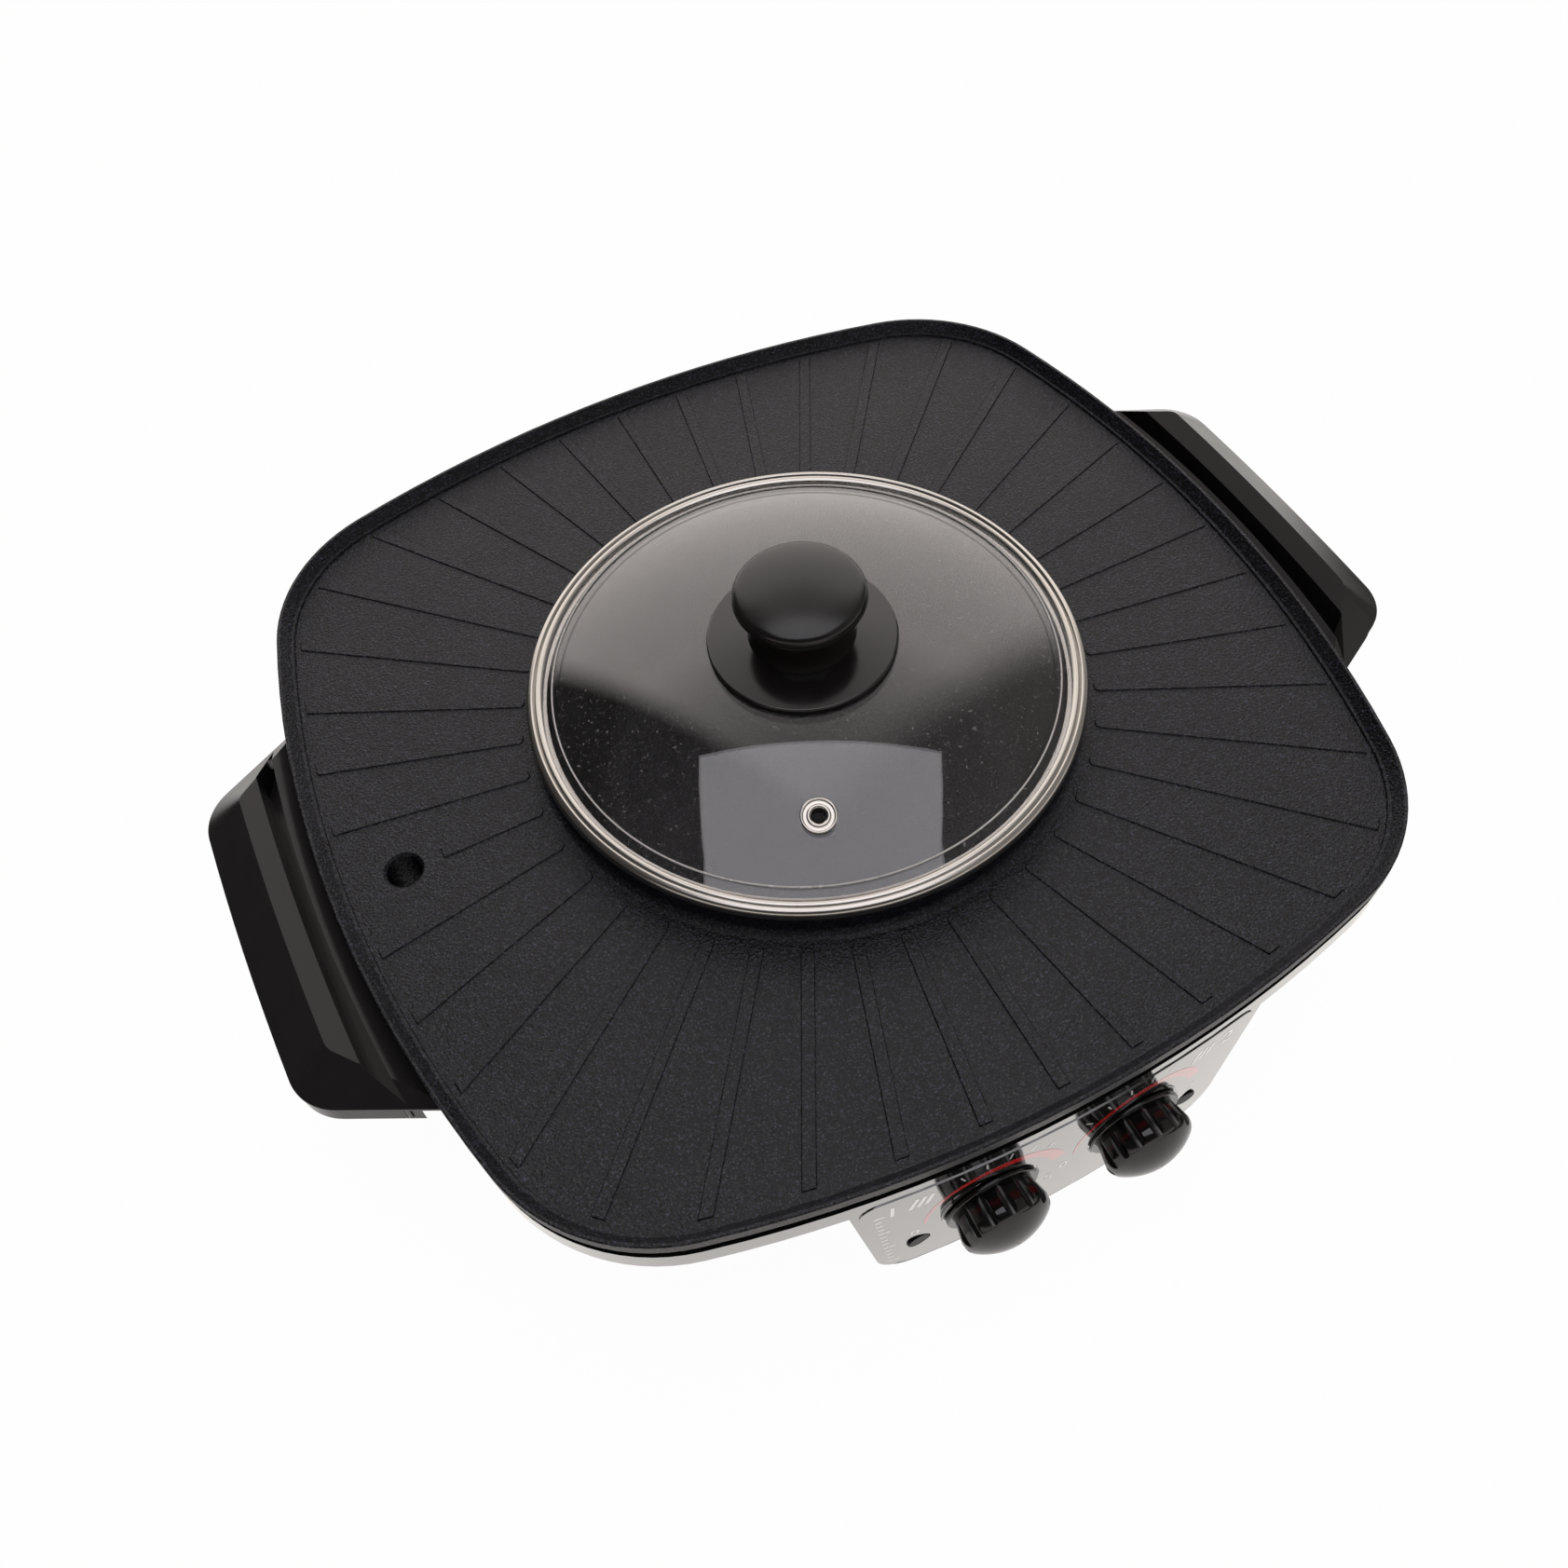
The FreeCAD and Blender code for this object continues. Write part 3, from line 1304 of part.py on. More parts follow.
def inlet_pins():
    pins = []
    for spot in inlet_pin_places():
        pins.append(box(spot.x - inlet_pin_thickness / 2, spot.x + inlet_pin_thickness / 2,
                        spot.y - inlet_back_wall - inlet_tail_length, spot.y + inlet_pin_length,
                        spot.z - inlet_pin_width / 2, spot.z + inlet_pin_width / 2))
    return Part.makeCompound(pins)


def inlet_screws():
    screws = []
    for side in (-1, 1):
        seat = Vector(side * inlet_screw_spacing / 2, rear_box_y + inlet_flange, inlet_z)
        screws.append(pan_screw(seat, Y_AXIS * -1, inlet_screw_head, inlet_screw_head_height,
                                inlet_screw_radius, inlet_screw_length))
    return Part.makeCompound(screws)


def cell_x(index):
    return (index - (block_cells - 1) / 2.0) * block_width / block_cells


def lead_level():
    return shield_z + shield_thickness + 2 * block_gap + block_bore_rise


def lead(points):
    # A round lead along straight runs joined by tangent arcs.
    edges = []
    start = points[0]
    for index in range(1, len(points) - 1):
        corner = points[index]
        before = (points[index - 1] - corner).normalize()
        after = (points[index + 1] - corner).normalize()
        half = before.getAngle(after) / 2
        inward = (before + after).normalize()
        enter = corner + before * (lead_bend / math.tan(half))
        leave = corner + after * (lead_bend / math.tan(half))
        middle = corner + inward * (lead_bend / math.sin(half) - lead_bend)
        edges.append(Part.LineSegment(start, enter).toShape())
        edges.append(Part.Arc(enter, middle, leave).toShape())
        start = leave
    edges.append(Part.LineSegment(start, points[-1]).toShape())
    ring = Part.Wire(Part.makeCircle(lead_radius, points[0], points[1] - points[0]))
    return Part.Wire(edges).makePipeShell([ring], True, True)


def inlet_lead(pin, cell):
    # From the tail of an inlet pin down to its cell in the terminal block.
    tail = inlet_pin_places()[pin] - Y_AXIS * (inlet_back_wall + inlet_tail_length)
    x = cell_x(cell)
    block_back = block_y + block_depth / 2
    return lead([
        tail,
        tail - Y_AXIS * lead_straight,
        Vector(x, block_back + inlet_lead_run, lead_level()),
        Vector(x, block_back - lead_in_block, lead_level()),
    ])


def blade_end(x):
    back = panel_inner_y + thermostat_seat_gap + thermostat_length + blade_length
    return Vector(x, back, knob_z)


def control_lead(side):
    # From the block, low round one side of the bowl, up to a thermostat's outer blade.
    level = lead_level()
    start = Vector(side * cell_x(block_cells - 1), block_y - block_depth / 2 + lead_in_block, level)
    end = blade_end(side * (knob_spacing / 2 + blade_offset))
    return lead([
        start,
        start - Y_AXIS * lead_straight,
        Vector(side * (side_route_x - side_route_spread), side_route_rear_y, level),
        Vector(side * (side_route_x + side_route_spread), side_route_front_y, level),
        Vector(side * nose_route_x, nose_route_y, level),
        Vector(end.x, nose_turn_y, level),
        end + Y_AXIS * nose_lead_run,
        end,
    ])


def heater_pin_tip(radius, underside_z, side):
    # The free end of a heater's pin and the way it points.
    point, along = heater_ends(radius, underside_z)[0 if side < 0 else 1]
    return point + along * (heater_gap + insulator_length + pin_length), along


def pot_live_lead():
    tip, along = heater_pin_tip(pot_heater_radius, bowl_under_z, -1)
    end = blade_end(-(knob_spacing / 2 - blade_offset))
    level = tip.z
    return lead([
        tip,
        tip + along * pot_pin_run,
        Vector(tip.x + pot_pin_side_run, bowl_front_rear_y, level),
        Vector(bowl_front_x, bowl_front_front_y, level),
        end + Y_AXIS * nose_lead_run,
        end,
    ])


def grill_live_lead():
    tip, along = heater_pin_tip(grill_heater_radius, seat_z, 1)
    end = blade_end(knob_spacing / 2 - blade_offset)
    turn = tip + along * lead_straight
    low = turn - Z_AXIS * grill_pin_drop - Y_AXIS
    return lead([tip, turn, low, end + Y_AXIS * lead_straight, end])


def pot_neutral_lead():
    tip, along = heater_pin_tip(pot_heater_radius, bowl_under_z, 1)
    level = lead_level()
    start = Vector(cell_x(block_cells - 2), block_y - block_depth / 2 + lead_in_block, level)
    return lead([
        start,
        start - Y_AXIS * block_lead_run,
        Vector(inner_route_rear_x, inner_route_rear_y, level),
        Vector(inner_route_front_x, inner_route_front_y, level),
        Vector(inner_route_turn_x, inner_route_turn_y, level),
        Vector(tip.x - side_route_spread, inner_route_end_y, tip.z),
        tip + along * pot_pin_run,
        tip,
    ])


def grill_neutral_lead():
    tip, along = heater_pin_tip(grill_heater_radius, seat_z, -1)
    level = lead_level()
    start = Vector(cell_x(1), block_y - block_depth / 2 + lead_in_block, level)
    turn = tip + along * lead_straight
    return lead([
        start,
        start - Y_AXIS * block_lead_run,
        Vector(-inner_route_rear_x, inner_route_rear_y, level),
        Vector(-high_route_x, high_route_rear_y, high_route_z),
        Vector(-high_route_x, high_route_front_y, high_route_z),
        Vector(high_corner_x, high_corner_y, high_corner_z),
        turn - Z_AXIS * grill_pin_drop - Y_AXIS,
        turn,
        tip,
    ])


def terminal_block():
    low = shield_z + shield_thickness + 2 * block_gap
    half = block_width / 2
    block = box(-half, half, block_y - block_depth / 2, block_y + block_depth / 2, low, low + block_height)
    for index in range(block_cells):
        bore = Vector(cell_x(index), 0, lead_level())
        screw = Vector(cell_x(index), block_y, lead_level() + block_bore_radius)
        block = block.cut(rod(block_bore_radius, far, bore, Y_AXIS))
        block = block.cut(rod(block_bore_radius, far, screw, Z_AXIS))
    return solid_of(block)


# ---------------------------------------------------------------- lid

def glass_radius():
    return (glass_bend_radius ** 2 + glass_rise ** 2) / (2 * glass_rise)


def glass_top_z():
    return ring_top_z + rim_steel + glass_gap + glass_thickness


def dome_z(radius, lift):
    # Height of the glass's upper surface, moved out by lift.
    sphere = glass_radius() + lift
    centre = glass_top_z() + glass_rise - glass_radius()
    return centre + math.sqrt(sphere ** 2 - radius ** 2)


def lid_glass():
    top = glass_top_z()
    bottom = top - glass_thickness
    thin = -glass_thickness
    inner_bend = glass_bend_radius - glass_bend_width
    soft = glass_edge_round
    mid = glass_bend_radius / 2
    hole_high = dome_z(glass_hole_radius, 0)
    hole_low = dome_z(glass_hole_radius, thin)
    edges = [
        arc((glass_hole_radius, hole_high), (mid, dome_z(mid, 0)), (glass_bend_radius, top)),
        line((glass_bend_radius, top), (glass_edge_radius - soft, top)),
        quarter((glass_edge_radius - soft, top - soft), soft, 90, 0),
        line((glass_edge_radius, top - soft), (glass_edge_radius, bottom + soft)),
        quarter((glass_edge_radius - soft, bottom + soft), soft, 0, -90),
        line((glass_edge_radius - soft, bottom), (glass_bend_radius, bottom)),
        line((glass_bend_radius, bottom), (inner_bend, dome_z(inner_bend, thin))),
        arc((inner_bend, dome_z(inner_bend, thin)), (mid, dome_z(mid, thin)), (glass_hole_radius, hole_low)),
        line((glass_hole_radius, hole_low), (glass_hole_radius, hole_high)),
    ]
    glass = revolved(edges)
    hole = rod(eyelet_barrel_radius + eyelet_clearance, 4 * glass_thickness,
               Vector(0, 0, dome_z(0, 0) - 2 * glass_thickness), Z_AXIS)
    return solid_of(glass.cut(square_to_glass(hole)))


def lid_rim():
    low = ring_top_z
    glass_low = low + rim_steel
    glass_high = glass_low + glass_thickness + 2 * glass_gap
    top = low + rim_height
    wide = lid_radius
    soft = rim_top_round
    hump = 0.5 * (rim_groove_radius + rim_inner_radius)
    outer_flat = wide - soft
    crown = 0.5 * (outer_flat + rim_groove_radius)
    groove_z = top - rim_groove_depth
    skirt_in = rim_skirt_radius - rim_steel
    edges = [
        line((skirt_in, low - rim_skirt_depth), (rim_skirt_radius, low - rim_skirt_depth)),
        line((rim_skirt_radius, low - rim_skirt_depth), (rim_skirt_radius, low)),
        line((rim_skirt_radius, low), (wide - soft, low)),
        quarter((wide - soft, low + soft), soft, -90, 0),
        line((wide, low + soft), (wide, top - soft)),
        quarter((wide - soft, top - soft), soft, 0, 90),
        arc((outer_flat, top), (crown + rim_roll, top - rim_roll), (rim_groove_radius, groove_z)),
        arc((rim_groove_radius, groove_z), (hump, top), (rim_inner_radius, groove_z)),
        line((rim_inner_radius, groove_z), (rim_inner_radius, glass_high)),
        line((rim_inner_radius, glass_high), (glass_edge_radius + glass_gap, glass_high)),
        line((glass_edge_radius + glass_gap, glass_high), (glass_edge_radius + glass_gap, glass_low)),
        line((glass_edge_radius + glass_gap, glass_low), (skirt_in, glass_low)),
        line((skirt_in, glass_low), (skirt_in, low - rim_skirt_depth)),
    ]
    return solid_of(revolved(edges))


def spherical_washer(radius, bore, lift0, lift1):
    # A washer that follows the glass, between two lifts above its upper surface.
    mid = 0.5 * (bore + radius)
    low = [(x, dome_z(x, lift0)) for x in (bore, mid, radius)]
    high = [(x, dome_z(x, lift1)) for x in (bore, mid, radius)]
    edges = [
        line(low[0], high[0]),
        arc(high[0], high[1], high[2]),
        line(high[2], low[2]),
        arc(low[2], low[1], low[0]),
    ]
    return solid_of(revolved(edges))


def lid_gasket():
    bore = lid_screw_radius + 2 * glass_gap
    return spherical_washer(gasket_radius, bore, glass_gap, gasket_thickness)


def disc_foot_lift():
    return gasket_thickness + glass_gap


def disc_top_z():
    # Height of the disc where the handle's neck stands on it.
    return dome_z(0, disc_foot_lift()) + disc_centre_thickness


def lid_disc():
    bore = lid_screw_radius + 2 * glass_gap
    lift = disc_foot_lift()
    edge_low = dome_z(disc_radius, lift)
    edge_high = edge_low + disc_edge_thickness
    soft = disc_edge_round
    top = disc_top_z()
    mid = 0.5 * disc_radius
    edges = [
        line((bore, dome_z(bore, lift)), (bore, top)),
        line((bore, top), (handle_neck_radius, top)),
        line((handle_neck_radius, top), (disc_radius - soft, edge_high)),
        quarter((disc_radius - soft, edge_high - soft), soft, 90, 0),
        line((disc_radius, edge_high - soft), (disc_radius, edge_low)),
        arc((disc_radius, edge_low), (mid, dome_z(mid, lift)), (bore, dome_z(bore, lift))),
    ]
    return solid_of(revolved(edges))


def lid_handle():
    base = disc_top_z() + glass_gap
    neck_top = base + handle_neck_height
    wide_z = base + cap_edge_height
    top = base + cap_top_height
    soft = cap_under_round
    under = wide_z - soft
    shoulder = cap_radius - soft
    neck = handle_waist_radius + handle_neck_flare
    edges = [
        line((0, base), (handle_neck_radius, base)),
        arc((handle_neck_radius, base), (handle_waist_radius, base + handle_waist_height), (neck, neck_top)),
        line((neck, neck_top), (shoulder, under)),
        line((0, top), (0, base)),
    ]
    edges[3:3] = domed_top(cap_radius, soft, wide_z, top, -90)
    handle = revolved(edges)
    hollow = rod(handle_hollow_radius, handle_hollow_height, Vector(0, 0, base), Z_AXIS)
    hollow = hollow.cut(rod(handle_hub_radius, handle_hollow_height, Vector(0, 0, base), Z_AXIS))
    bore = rod(lid_screw_radius + glass_gap, lid_screw_bite + spare, Vector(0, 0, base), Z_AXIS)
    return solid_of(handle.cut(hollow).cut(bore))


def lid_washer():
    bore = lid_screw_radius + 2 * glass_gap
    under = -glass_thickness - glass_gap
    return spherical_washer(washer_radius, bore, under - washer_thickness, under)


def lid_screw():
    # Its head lies under the steel washer, and its tip is in the handle's hub.
    head_z = dome_z(lid_screw_head, -glass_thickness - glass_gap - washer_thickness) - glass_gap
    length = disc_top_z() + glass_gap - head_z + lid_screw_bite
    seat = Vector(0, 0, head_z)
    return pan_screw(seat, Z_AXIS, lid_screw_head, lid_screw_head_height, lid_screw_radius, length)


def square_to_glass(shape):
    # Tilts a shape drawn on the lid's axis so that it stands on the glass at the steam vent.
    lean = math.asin(math.hypot(eyelet_x, eyelet_y) / glass_radius())
    centre = Vector(0, 0, dome_z(0, 0) - glass_radius())
    shape.rotate(centre, Vector(-eyelet_y, eyelet_x, 0), math.degrees(lean))
    return shape


def vent_eyelet():
    # A rolled tube through the glass with a flange on each side of it.
    sag = dome_z(0, -glass_thickness) - dome_z(eyelet_flange_radius, -glass_thickness)
    top = dome_z(0, 0)
    bottom = top - glass_thickness - sag
    barrel = rod(eyelet_barrel_radius, top - bottom, Vector(0, 0, bottom), Z_AXIS)
    upper = rod(eyelet_flange_radius, eyelet_flange, Vector(0, 0, top), Z_AXIS)
    upper = upper.makeFillet(eyelet_flange_round, edges_at_z(upper, top + eyelet_flange))
    lower = rod(eyelet_flange_radius, eyelet_flange, Vector(0, 0, bottom - eyelet_flange), Z_AXIS)
    part = union(barrel, upper, lower)
    part = part.cut(rod(eyelet_hole_radius, far, Vector(0, 0, 0), Z_AXIS))
    return square_to_glass(solid_of(part))


def main():
    os.makedirs("parts", exist_ok=True)
    save("grill_casting", grill_casting())
    save("base_shell", base_shell())
    save("bottom_cover", bottom_cover())
    save("heat_shield", heat_shield())
    save("case_screws", case_screws())
    save("foot_front_left", foot(-1, -1))
    save("foot_front_right", foot(1, -1))
    save("foot_rear_left", foot(-1, 1))
    save("foot_rear_right", foot(1, 1))
    right = side_handle()
    right_cover = side_handle_cover()
    save("right_handle", right)
    save("left_handle", mirrored_x(right))
    save("right_handle_cover", right_cover)
    save("left_handle_cover", mirrored_x(right_cover))
    save("handle_screws", handle_screws())
    save("handle_cover_screws", handle_cover_screws())
    save("panel_film", panel_film())
    for name, x in zip(("pot", "grill"), knob_places()):
        save(name + "_knob", control_knob(x))
        save(name + "_control_shaft", control_shaft(x))
        save(name + "_thermostat", thermostat(x))
    for name, x in zip(("pot", "grill"), lamp_places()):
        save(name + "_lamp", lamp(x))
    save("thermostat_screws", control_screws())
    save("pot_heater", heater(pot_heater_radius, bowl_under_z))
    save("grill_heater", heater(grill_heater_radius, seat_z))
    save("heater_insulators", heater_insulators())
    save("heater_pins", heater_pins())
    save("thermal_fuse", thermal_fuse())
    save("power_inlet", power_inlet())
    save("inlet_pins", inlet_pins())
    save("inlet_screws", inlet_screws())
    save("terminal_block", terminal_block())
    save("live_lead", inlet_lead(0, 0))
    save("earth_lead", inlet_lead(2, 2))
    save("neutral_lead", inlet_lead(1, 3))
    save("control_leads", Part.makeCompound([control_lead(-1), control_lead(1)]))
    heater_wires = [pot_live_lead(), grill_live_lead(), pot_neutral_lead(), grill_neutral_lead()]
    save("heater_leads", Part.makeCompound(heater_wires))
    save("lid_glass", lid_glass())
    save("lid_rim", lid_rim())
    save("lid_gasket", lid_gasket())
    save("lid_disc", lid_disc())
    save("lid_handle", lid_handle())
    save("lid_washer", lid_washer())
    save("lid_screw", lid_screw())
    save("vent_eyelet", vent_eyelet())


main()
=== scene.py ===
import math
import bpy
from mathutils import Matrix, Vector


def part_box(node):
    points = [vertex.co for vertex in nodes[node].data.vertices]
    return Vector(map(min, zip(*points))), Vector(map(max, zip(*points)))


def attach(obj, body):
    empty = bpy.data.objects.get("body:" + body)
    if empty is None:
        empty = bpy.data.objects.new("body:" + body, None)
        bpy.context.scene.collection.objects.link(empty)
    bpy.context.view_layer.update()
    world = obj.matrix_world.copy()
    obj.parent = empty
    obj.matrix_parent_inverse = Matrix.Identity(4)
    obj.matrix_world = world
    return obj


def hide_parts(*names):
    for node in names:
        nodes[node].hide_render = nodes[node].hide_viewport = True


# electric hot pot in a grill plate: finishes, printed panel, lid pieces and studio
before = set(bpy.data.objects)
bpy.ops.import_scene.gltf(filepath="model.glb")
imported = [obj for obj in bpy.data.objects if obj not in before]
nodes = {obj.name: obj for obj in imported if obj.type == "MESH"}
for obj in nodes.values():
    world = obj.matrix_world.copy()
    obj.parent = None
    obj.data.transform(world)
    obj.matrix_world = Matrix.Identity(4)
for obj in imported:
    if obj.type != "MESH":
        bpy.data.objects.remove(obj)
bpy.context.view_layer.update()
mm = 0.001


def report(stage):
    print("stage:", stage)


def deselectAll():
    for item in bpy.context.selected_objects:
        item.select_set(False)


def selectOnly(pieces):
    deselectAll()
    for piece in pieces:
        piece.select_set(True)
    bpy.context.view_layer.objects.active = pieces[0]


cameraSetup = {
    "place": (-121.0 * mm, -269.4 * mm, 463.4 * mm),
    "heading": -22.22,      # degrees round Z, away from +Y
    "lookDown": 55.74,      # degrees below the horizon
    "roll": -5.49,
    "lens": 33.745,         # mm
    "sensor": 36.0,         # mm
    "nearClip": 10.0 * mm,
}


def addCamera(setup):
    data = bpy.data.cameras.new("studioCamera")
    data.lens = setup["lens"]
    data.sensor_width = setup["sensor"]
    data.clip_start = setup["nearClip"]
    camera = bpy.data.objects.new("studioCamera", data)
    bpy.context.scene.collection.objects.link(camera)
    turn = Matrix.Rotation(math.radians(setup["heading"]), 4, "Z")
    tilt = Matrix.Rotation(math.radians(90 - setup["lookDown"]), 4, "X")
    roll = Matrix.Rotation(math.radians(setup["roll"]), 4, "Z")
    camera.matrix_world = Matrix.Translation(setup["place"]) @ turn @ tilt @ roll
    bpy.context.scene.camera = camera


addCamera(cameraSetup)
report("camera")


def linearColour(hexCode, alpha=1.0):
    channels = []
    for start in (1, 3, 5):
        value = int(hexCode[start:start + 2], 16) / 255.0
        channels.append(value / 12.92 if value <= 0.04045 else ((value + 0.055) / 1.055) ** 2.4)
    return (channels[0], channels[1], channels[2], alpha)


def addNode(tree, kind, settings=None, links=None):
    # settings are values of its sockets or of the node itself; a linked node gives its first output
    node = tree.nodes.new(kind)
    for name, value in (settings or {}).items():
        if isinstance(name, int) or name in node.inputs:
            node.inputs[name].default_value = value
        else:
            setattr(node, name, value)
    for name, source in (links or {}).items():
        if isinstance(source, bpy.types.Node):
            source = source.outputs[0]
        tree.links.new(source, node.inputs[name])
    return node


def newMaterial(name):
    material = bpy.data.materials.new(name)
    material.use_nodes = True
    tree = material.node_tree
    shader = tree.nodes["Principled BSDF"]
    place = addNode(tree, "ShaderNodeTexCoord").outputs["Object"]
    return material, tree, shader, place


def perMetre(sizeMm):
    return 1.0 / (sizeMm * mm)


noiseMiddle = {"From Min": 0.3, "From Max": 0.7}    # where most of a noise pattern's values lie


def finishSurface(tree, shader, colour, roughness, relief):
    # each starts with its pattern; then come two colours, low and high roughness, depth in mm and strength
    pattern, first, second = colour
    tint = addNode(tree, "ShaderNodeMix",
                   {"data_type": "RGBA", 6: linearColour(first), 7: linearColour(second)}, {0: pattern})
    tree.links.new(tint.outputs[2], shader.inputs["Base Color"])
    pattern, low, high = roughness
    gloss = addNode(tree, "ShaderNodeMapRange", {**noiseMiddle, "To Min": low, "To Max": high},
                    {"Value": pattern})
    tree.links.new(gloss.outputs["Result"], shader.inputs["Roughness"])
    pattern, depthMm, strength = relief
    height = addNode(tree, "ShaderNodeBump", {"Distance": depthMm * mm, "Strength": strength},
                     {"Height": pattern})
    tree.links.new(height.outputs["Normal"], shader.inputs["Normal"])


# materials
def makeNonStickCoating():
    # sprayed PTFE coating on grit-blasted cast aluminium: near black with a cool tint and fine grains that
    # catch the light, with a painted highlight as a pale line on the outer top edge of the ring; the grains
    # are drawn twice as coarse as the real ones so that they show
    look = {
        "dark": "#040406", "light": "#3a3c4a", "ringHighlight": "#b3b0ac",
        "roughness": (0.34, 0.4), "ior": 1.34,
        "grainMm": 0.8, "relief": (0.36, 1.0), "cloudMm": 30.0,
        "speckMm": 0.42,
        "speckPower": 6.0,          # the higher, the fewer specks are bright
        "speckLow": 0.2, "speckHigh": 1.6,
        "edgeRadius": 88.3 * mm, "edgeHalf": 0.5 * mm, "edgeHeight": 88.9 * mm,
        "edgeLow": 0.1, "edgeHigh": 1.0,
    }
    material, tree, shader, place = newMaterial("ptfeCoatedCastAluminium")
    grain = addNode(tree, "ShaderNodeTexNoise",
                    {"Scale": perMetre(look["grainMm"]), "Detail": 2.0, "Roughness": 0.6}, {"Vector": place})
    cloud = addNode(tree, "ShaderNodeTexNoise", {"Scale": perMetre(look["cloudMm"]), "Detail": 2.0},
                    {"Vector": place})
    specks = addNode(tree, "ShaderNodeTexVoronoi", {"Scale": perMetre(look["speckMm"])}, {"Vector": place})
    tone = addNode(tree, "ShaderNodeSeparateColor", {}, {"Color": specks.outputs["Color"]})
    rare = addNode(tree, "ShaderNodeMath", {"operation": "POWER", 1: look["speckPower"]},
                   {0: tone.outputs["Red"]})
    patchy = addNode(tree, "ShaderNodeMapRange",
                     {**noiseMiddle, "To Min": look["speckLow"], "To Max": look["speckHigh"]},
                     {"Value": grain})
    bright = addNode(tree, "ShaderNodeMath", {"operation": "MULTIPLY"}, {0: rare, 1: patchy})
    finishSurface(tree, shader, (bright, look["dark"], look["light"]), (cloud, *look["roughness"]),
                  (grain, *look["relief"]))
    # the painted highlight on the ring's top edge: a pale line in a narrow band of radius, above a height,
    # broken up by the grain
    flat = addNode(tree, "ShaderNodeVectorMath", {"operation": "MULTIPLY", 1: (1.0, 1.0, 0.0)}, {0: place})
    radius = addNode(tree, "ShaderNodeVectorMath", {"operation": "LENGTH"}, {0: flat}).outputs["Value"]
    height = addNode(tree, "ShaderNodeSeparateXYZ", {}, {"Vector": place}).outputs["Z"]
    near = addNode(tree, "ShaderNodeMath",
                   {"operation": "COMPARE", 1: look["edgeRadius"], 2: look["edgeHalf"]}, {0: radius})
    high = addNode(tree, "ShaderNodeMath", {"operation": "GREATER_THAN", 1: look["edgeHeight"]}, {0: height})
    edge = addNode(tree, "ShaderNodeMath", {"operation": "MULTIPLY"}, {0: near, 1: high})
    broken = addNode(tree, "ShaderNodeMapRange",
                     {**noiseMiddle, "To Min": look["edgeLow"], "To Max": look["edgeHigh"]},
                     {"Value": grain})
    edge = addNode(tree, "ShaderNodeMath", {"operation": "MULTIPLY"}, {0: edge, 1: broken})
    coat = shader.inputs["Base Color"].links[0].from_socket
    # the painted highlight colour is mixed into the coating colour along that band
    ringHighlight = addNode(tree, "ShaderNodeMix", {"data_type": "RGBA", 7: linearColour(look["ringHighlight"])},
                   {0: edge, 6: coat})
    tree.links.new(ringHighlight.outputs[2], shader.inputs["Base Color"])
    shader.inputs["IOR"].default_value = look["ior"]
    return material


def makeGlossPlastic(look):
    # injection-moulded and polished: deep black with a mirror skin and a faint waviness from the mould
    mould = {"smudgeMm": 14.0, "relief": (0.02, 0.35)}
    material, tree, shader, place = newMaterial(look["name"])
    wave = addNode(tree, "ShaderNodeTexNoise", {"Scale": perMetre(look["waveMm"]), "Detail": 2.0},
                   {"Vector": place})
    smudge = addNode(tree, "ShaderNodeTexNoise", {"Scale": perMetre(mould["smudgeMm"]), "Detail": 3.0},
                     {"Vector": place})
    finishSurface(tree, shader, (smudge, *look["colours"]), (smudge, *look["roughness"]),
                  (wave, *mould["relief"]))
    shader.inputs["IOR"].default_value = look["ior"]
    return material


def addHardCoat(shader, ior):
    # a clear layer over the colour, with its own bright reflection
    shader.inputs["Coat Weight"].default_value = 1.0
    shader.inputs["Coat IOR"].default_value = ior
    shader.inputs["Coat Roughness"].default_value = 0.08


def makeMirrorSkin(look):
    # black plastic under a mirror-bright hard coat, with a faint ripple
    skin = {"rippleMm": 16.0, "roughness": (0.08, 0.12), "relief": (0.02, 0.2)}
    material, tree, shader, place = newMaterial(look["name"])
    ripple = addNode(tree, "ShaderNodeTexNoise", {"Scale": perMetre(skin["rippleMm"]), "Detail": 1.0},
                     {"Vector": place})
    finishSurface(tree, shader, (ripple, *look["colours"]), (ripple, *skin["roughness"]),
                  (ripple, *skin["relief"]))
    shader.inputs["IOR"].default_value = look["ior"]
    addHardCoat(shader, look["ior"])
    return material


def makeSatinPlastic(look):
    # spark-eroded mould texture: an even satin black with a very fine leathery grain
    mould = {"hazeMm": 18.0, "relief": (0.03, 0.5), "ior": 1.42}
    material, tree, shader, place = newMaterial(look["name"])
    grain = addNode(tree, "ShaderNodeTexNoise",
                    {"Scale": perMetre(look["grainMm"]), "Detail": 4.0, "Roughness": 0.6}, {"Vector": place})
    haze = addNode(tree, "ShaderNodeTexNoise", {"Scale": perMetre(mould["hazeMm"]), "Detail": 2.0},
                   {"Vector": place})
    finishSurface(tree, shader, (haze, *look["colours"]), (haze, *look["roughness"]),
                  (grain, *mould["relief"]))
    shader.inputs["IOR"].default_value = mould["ior"]
    return material


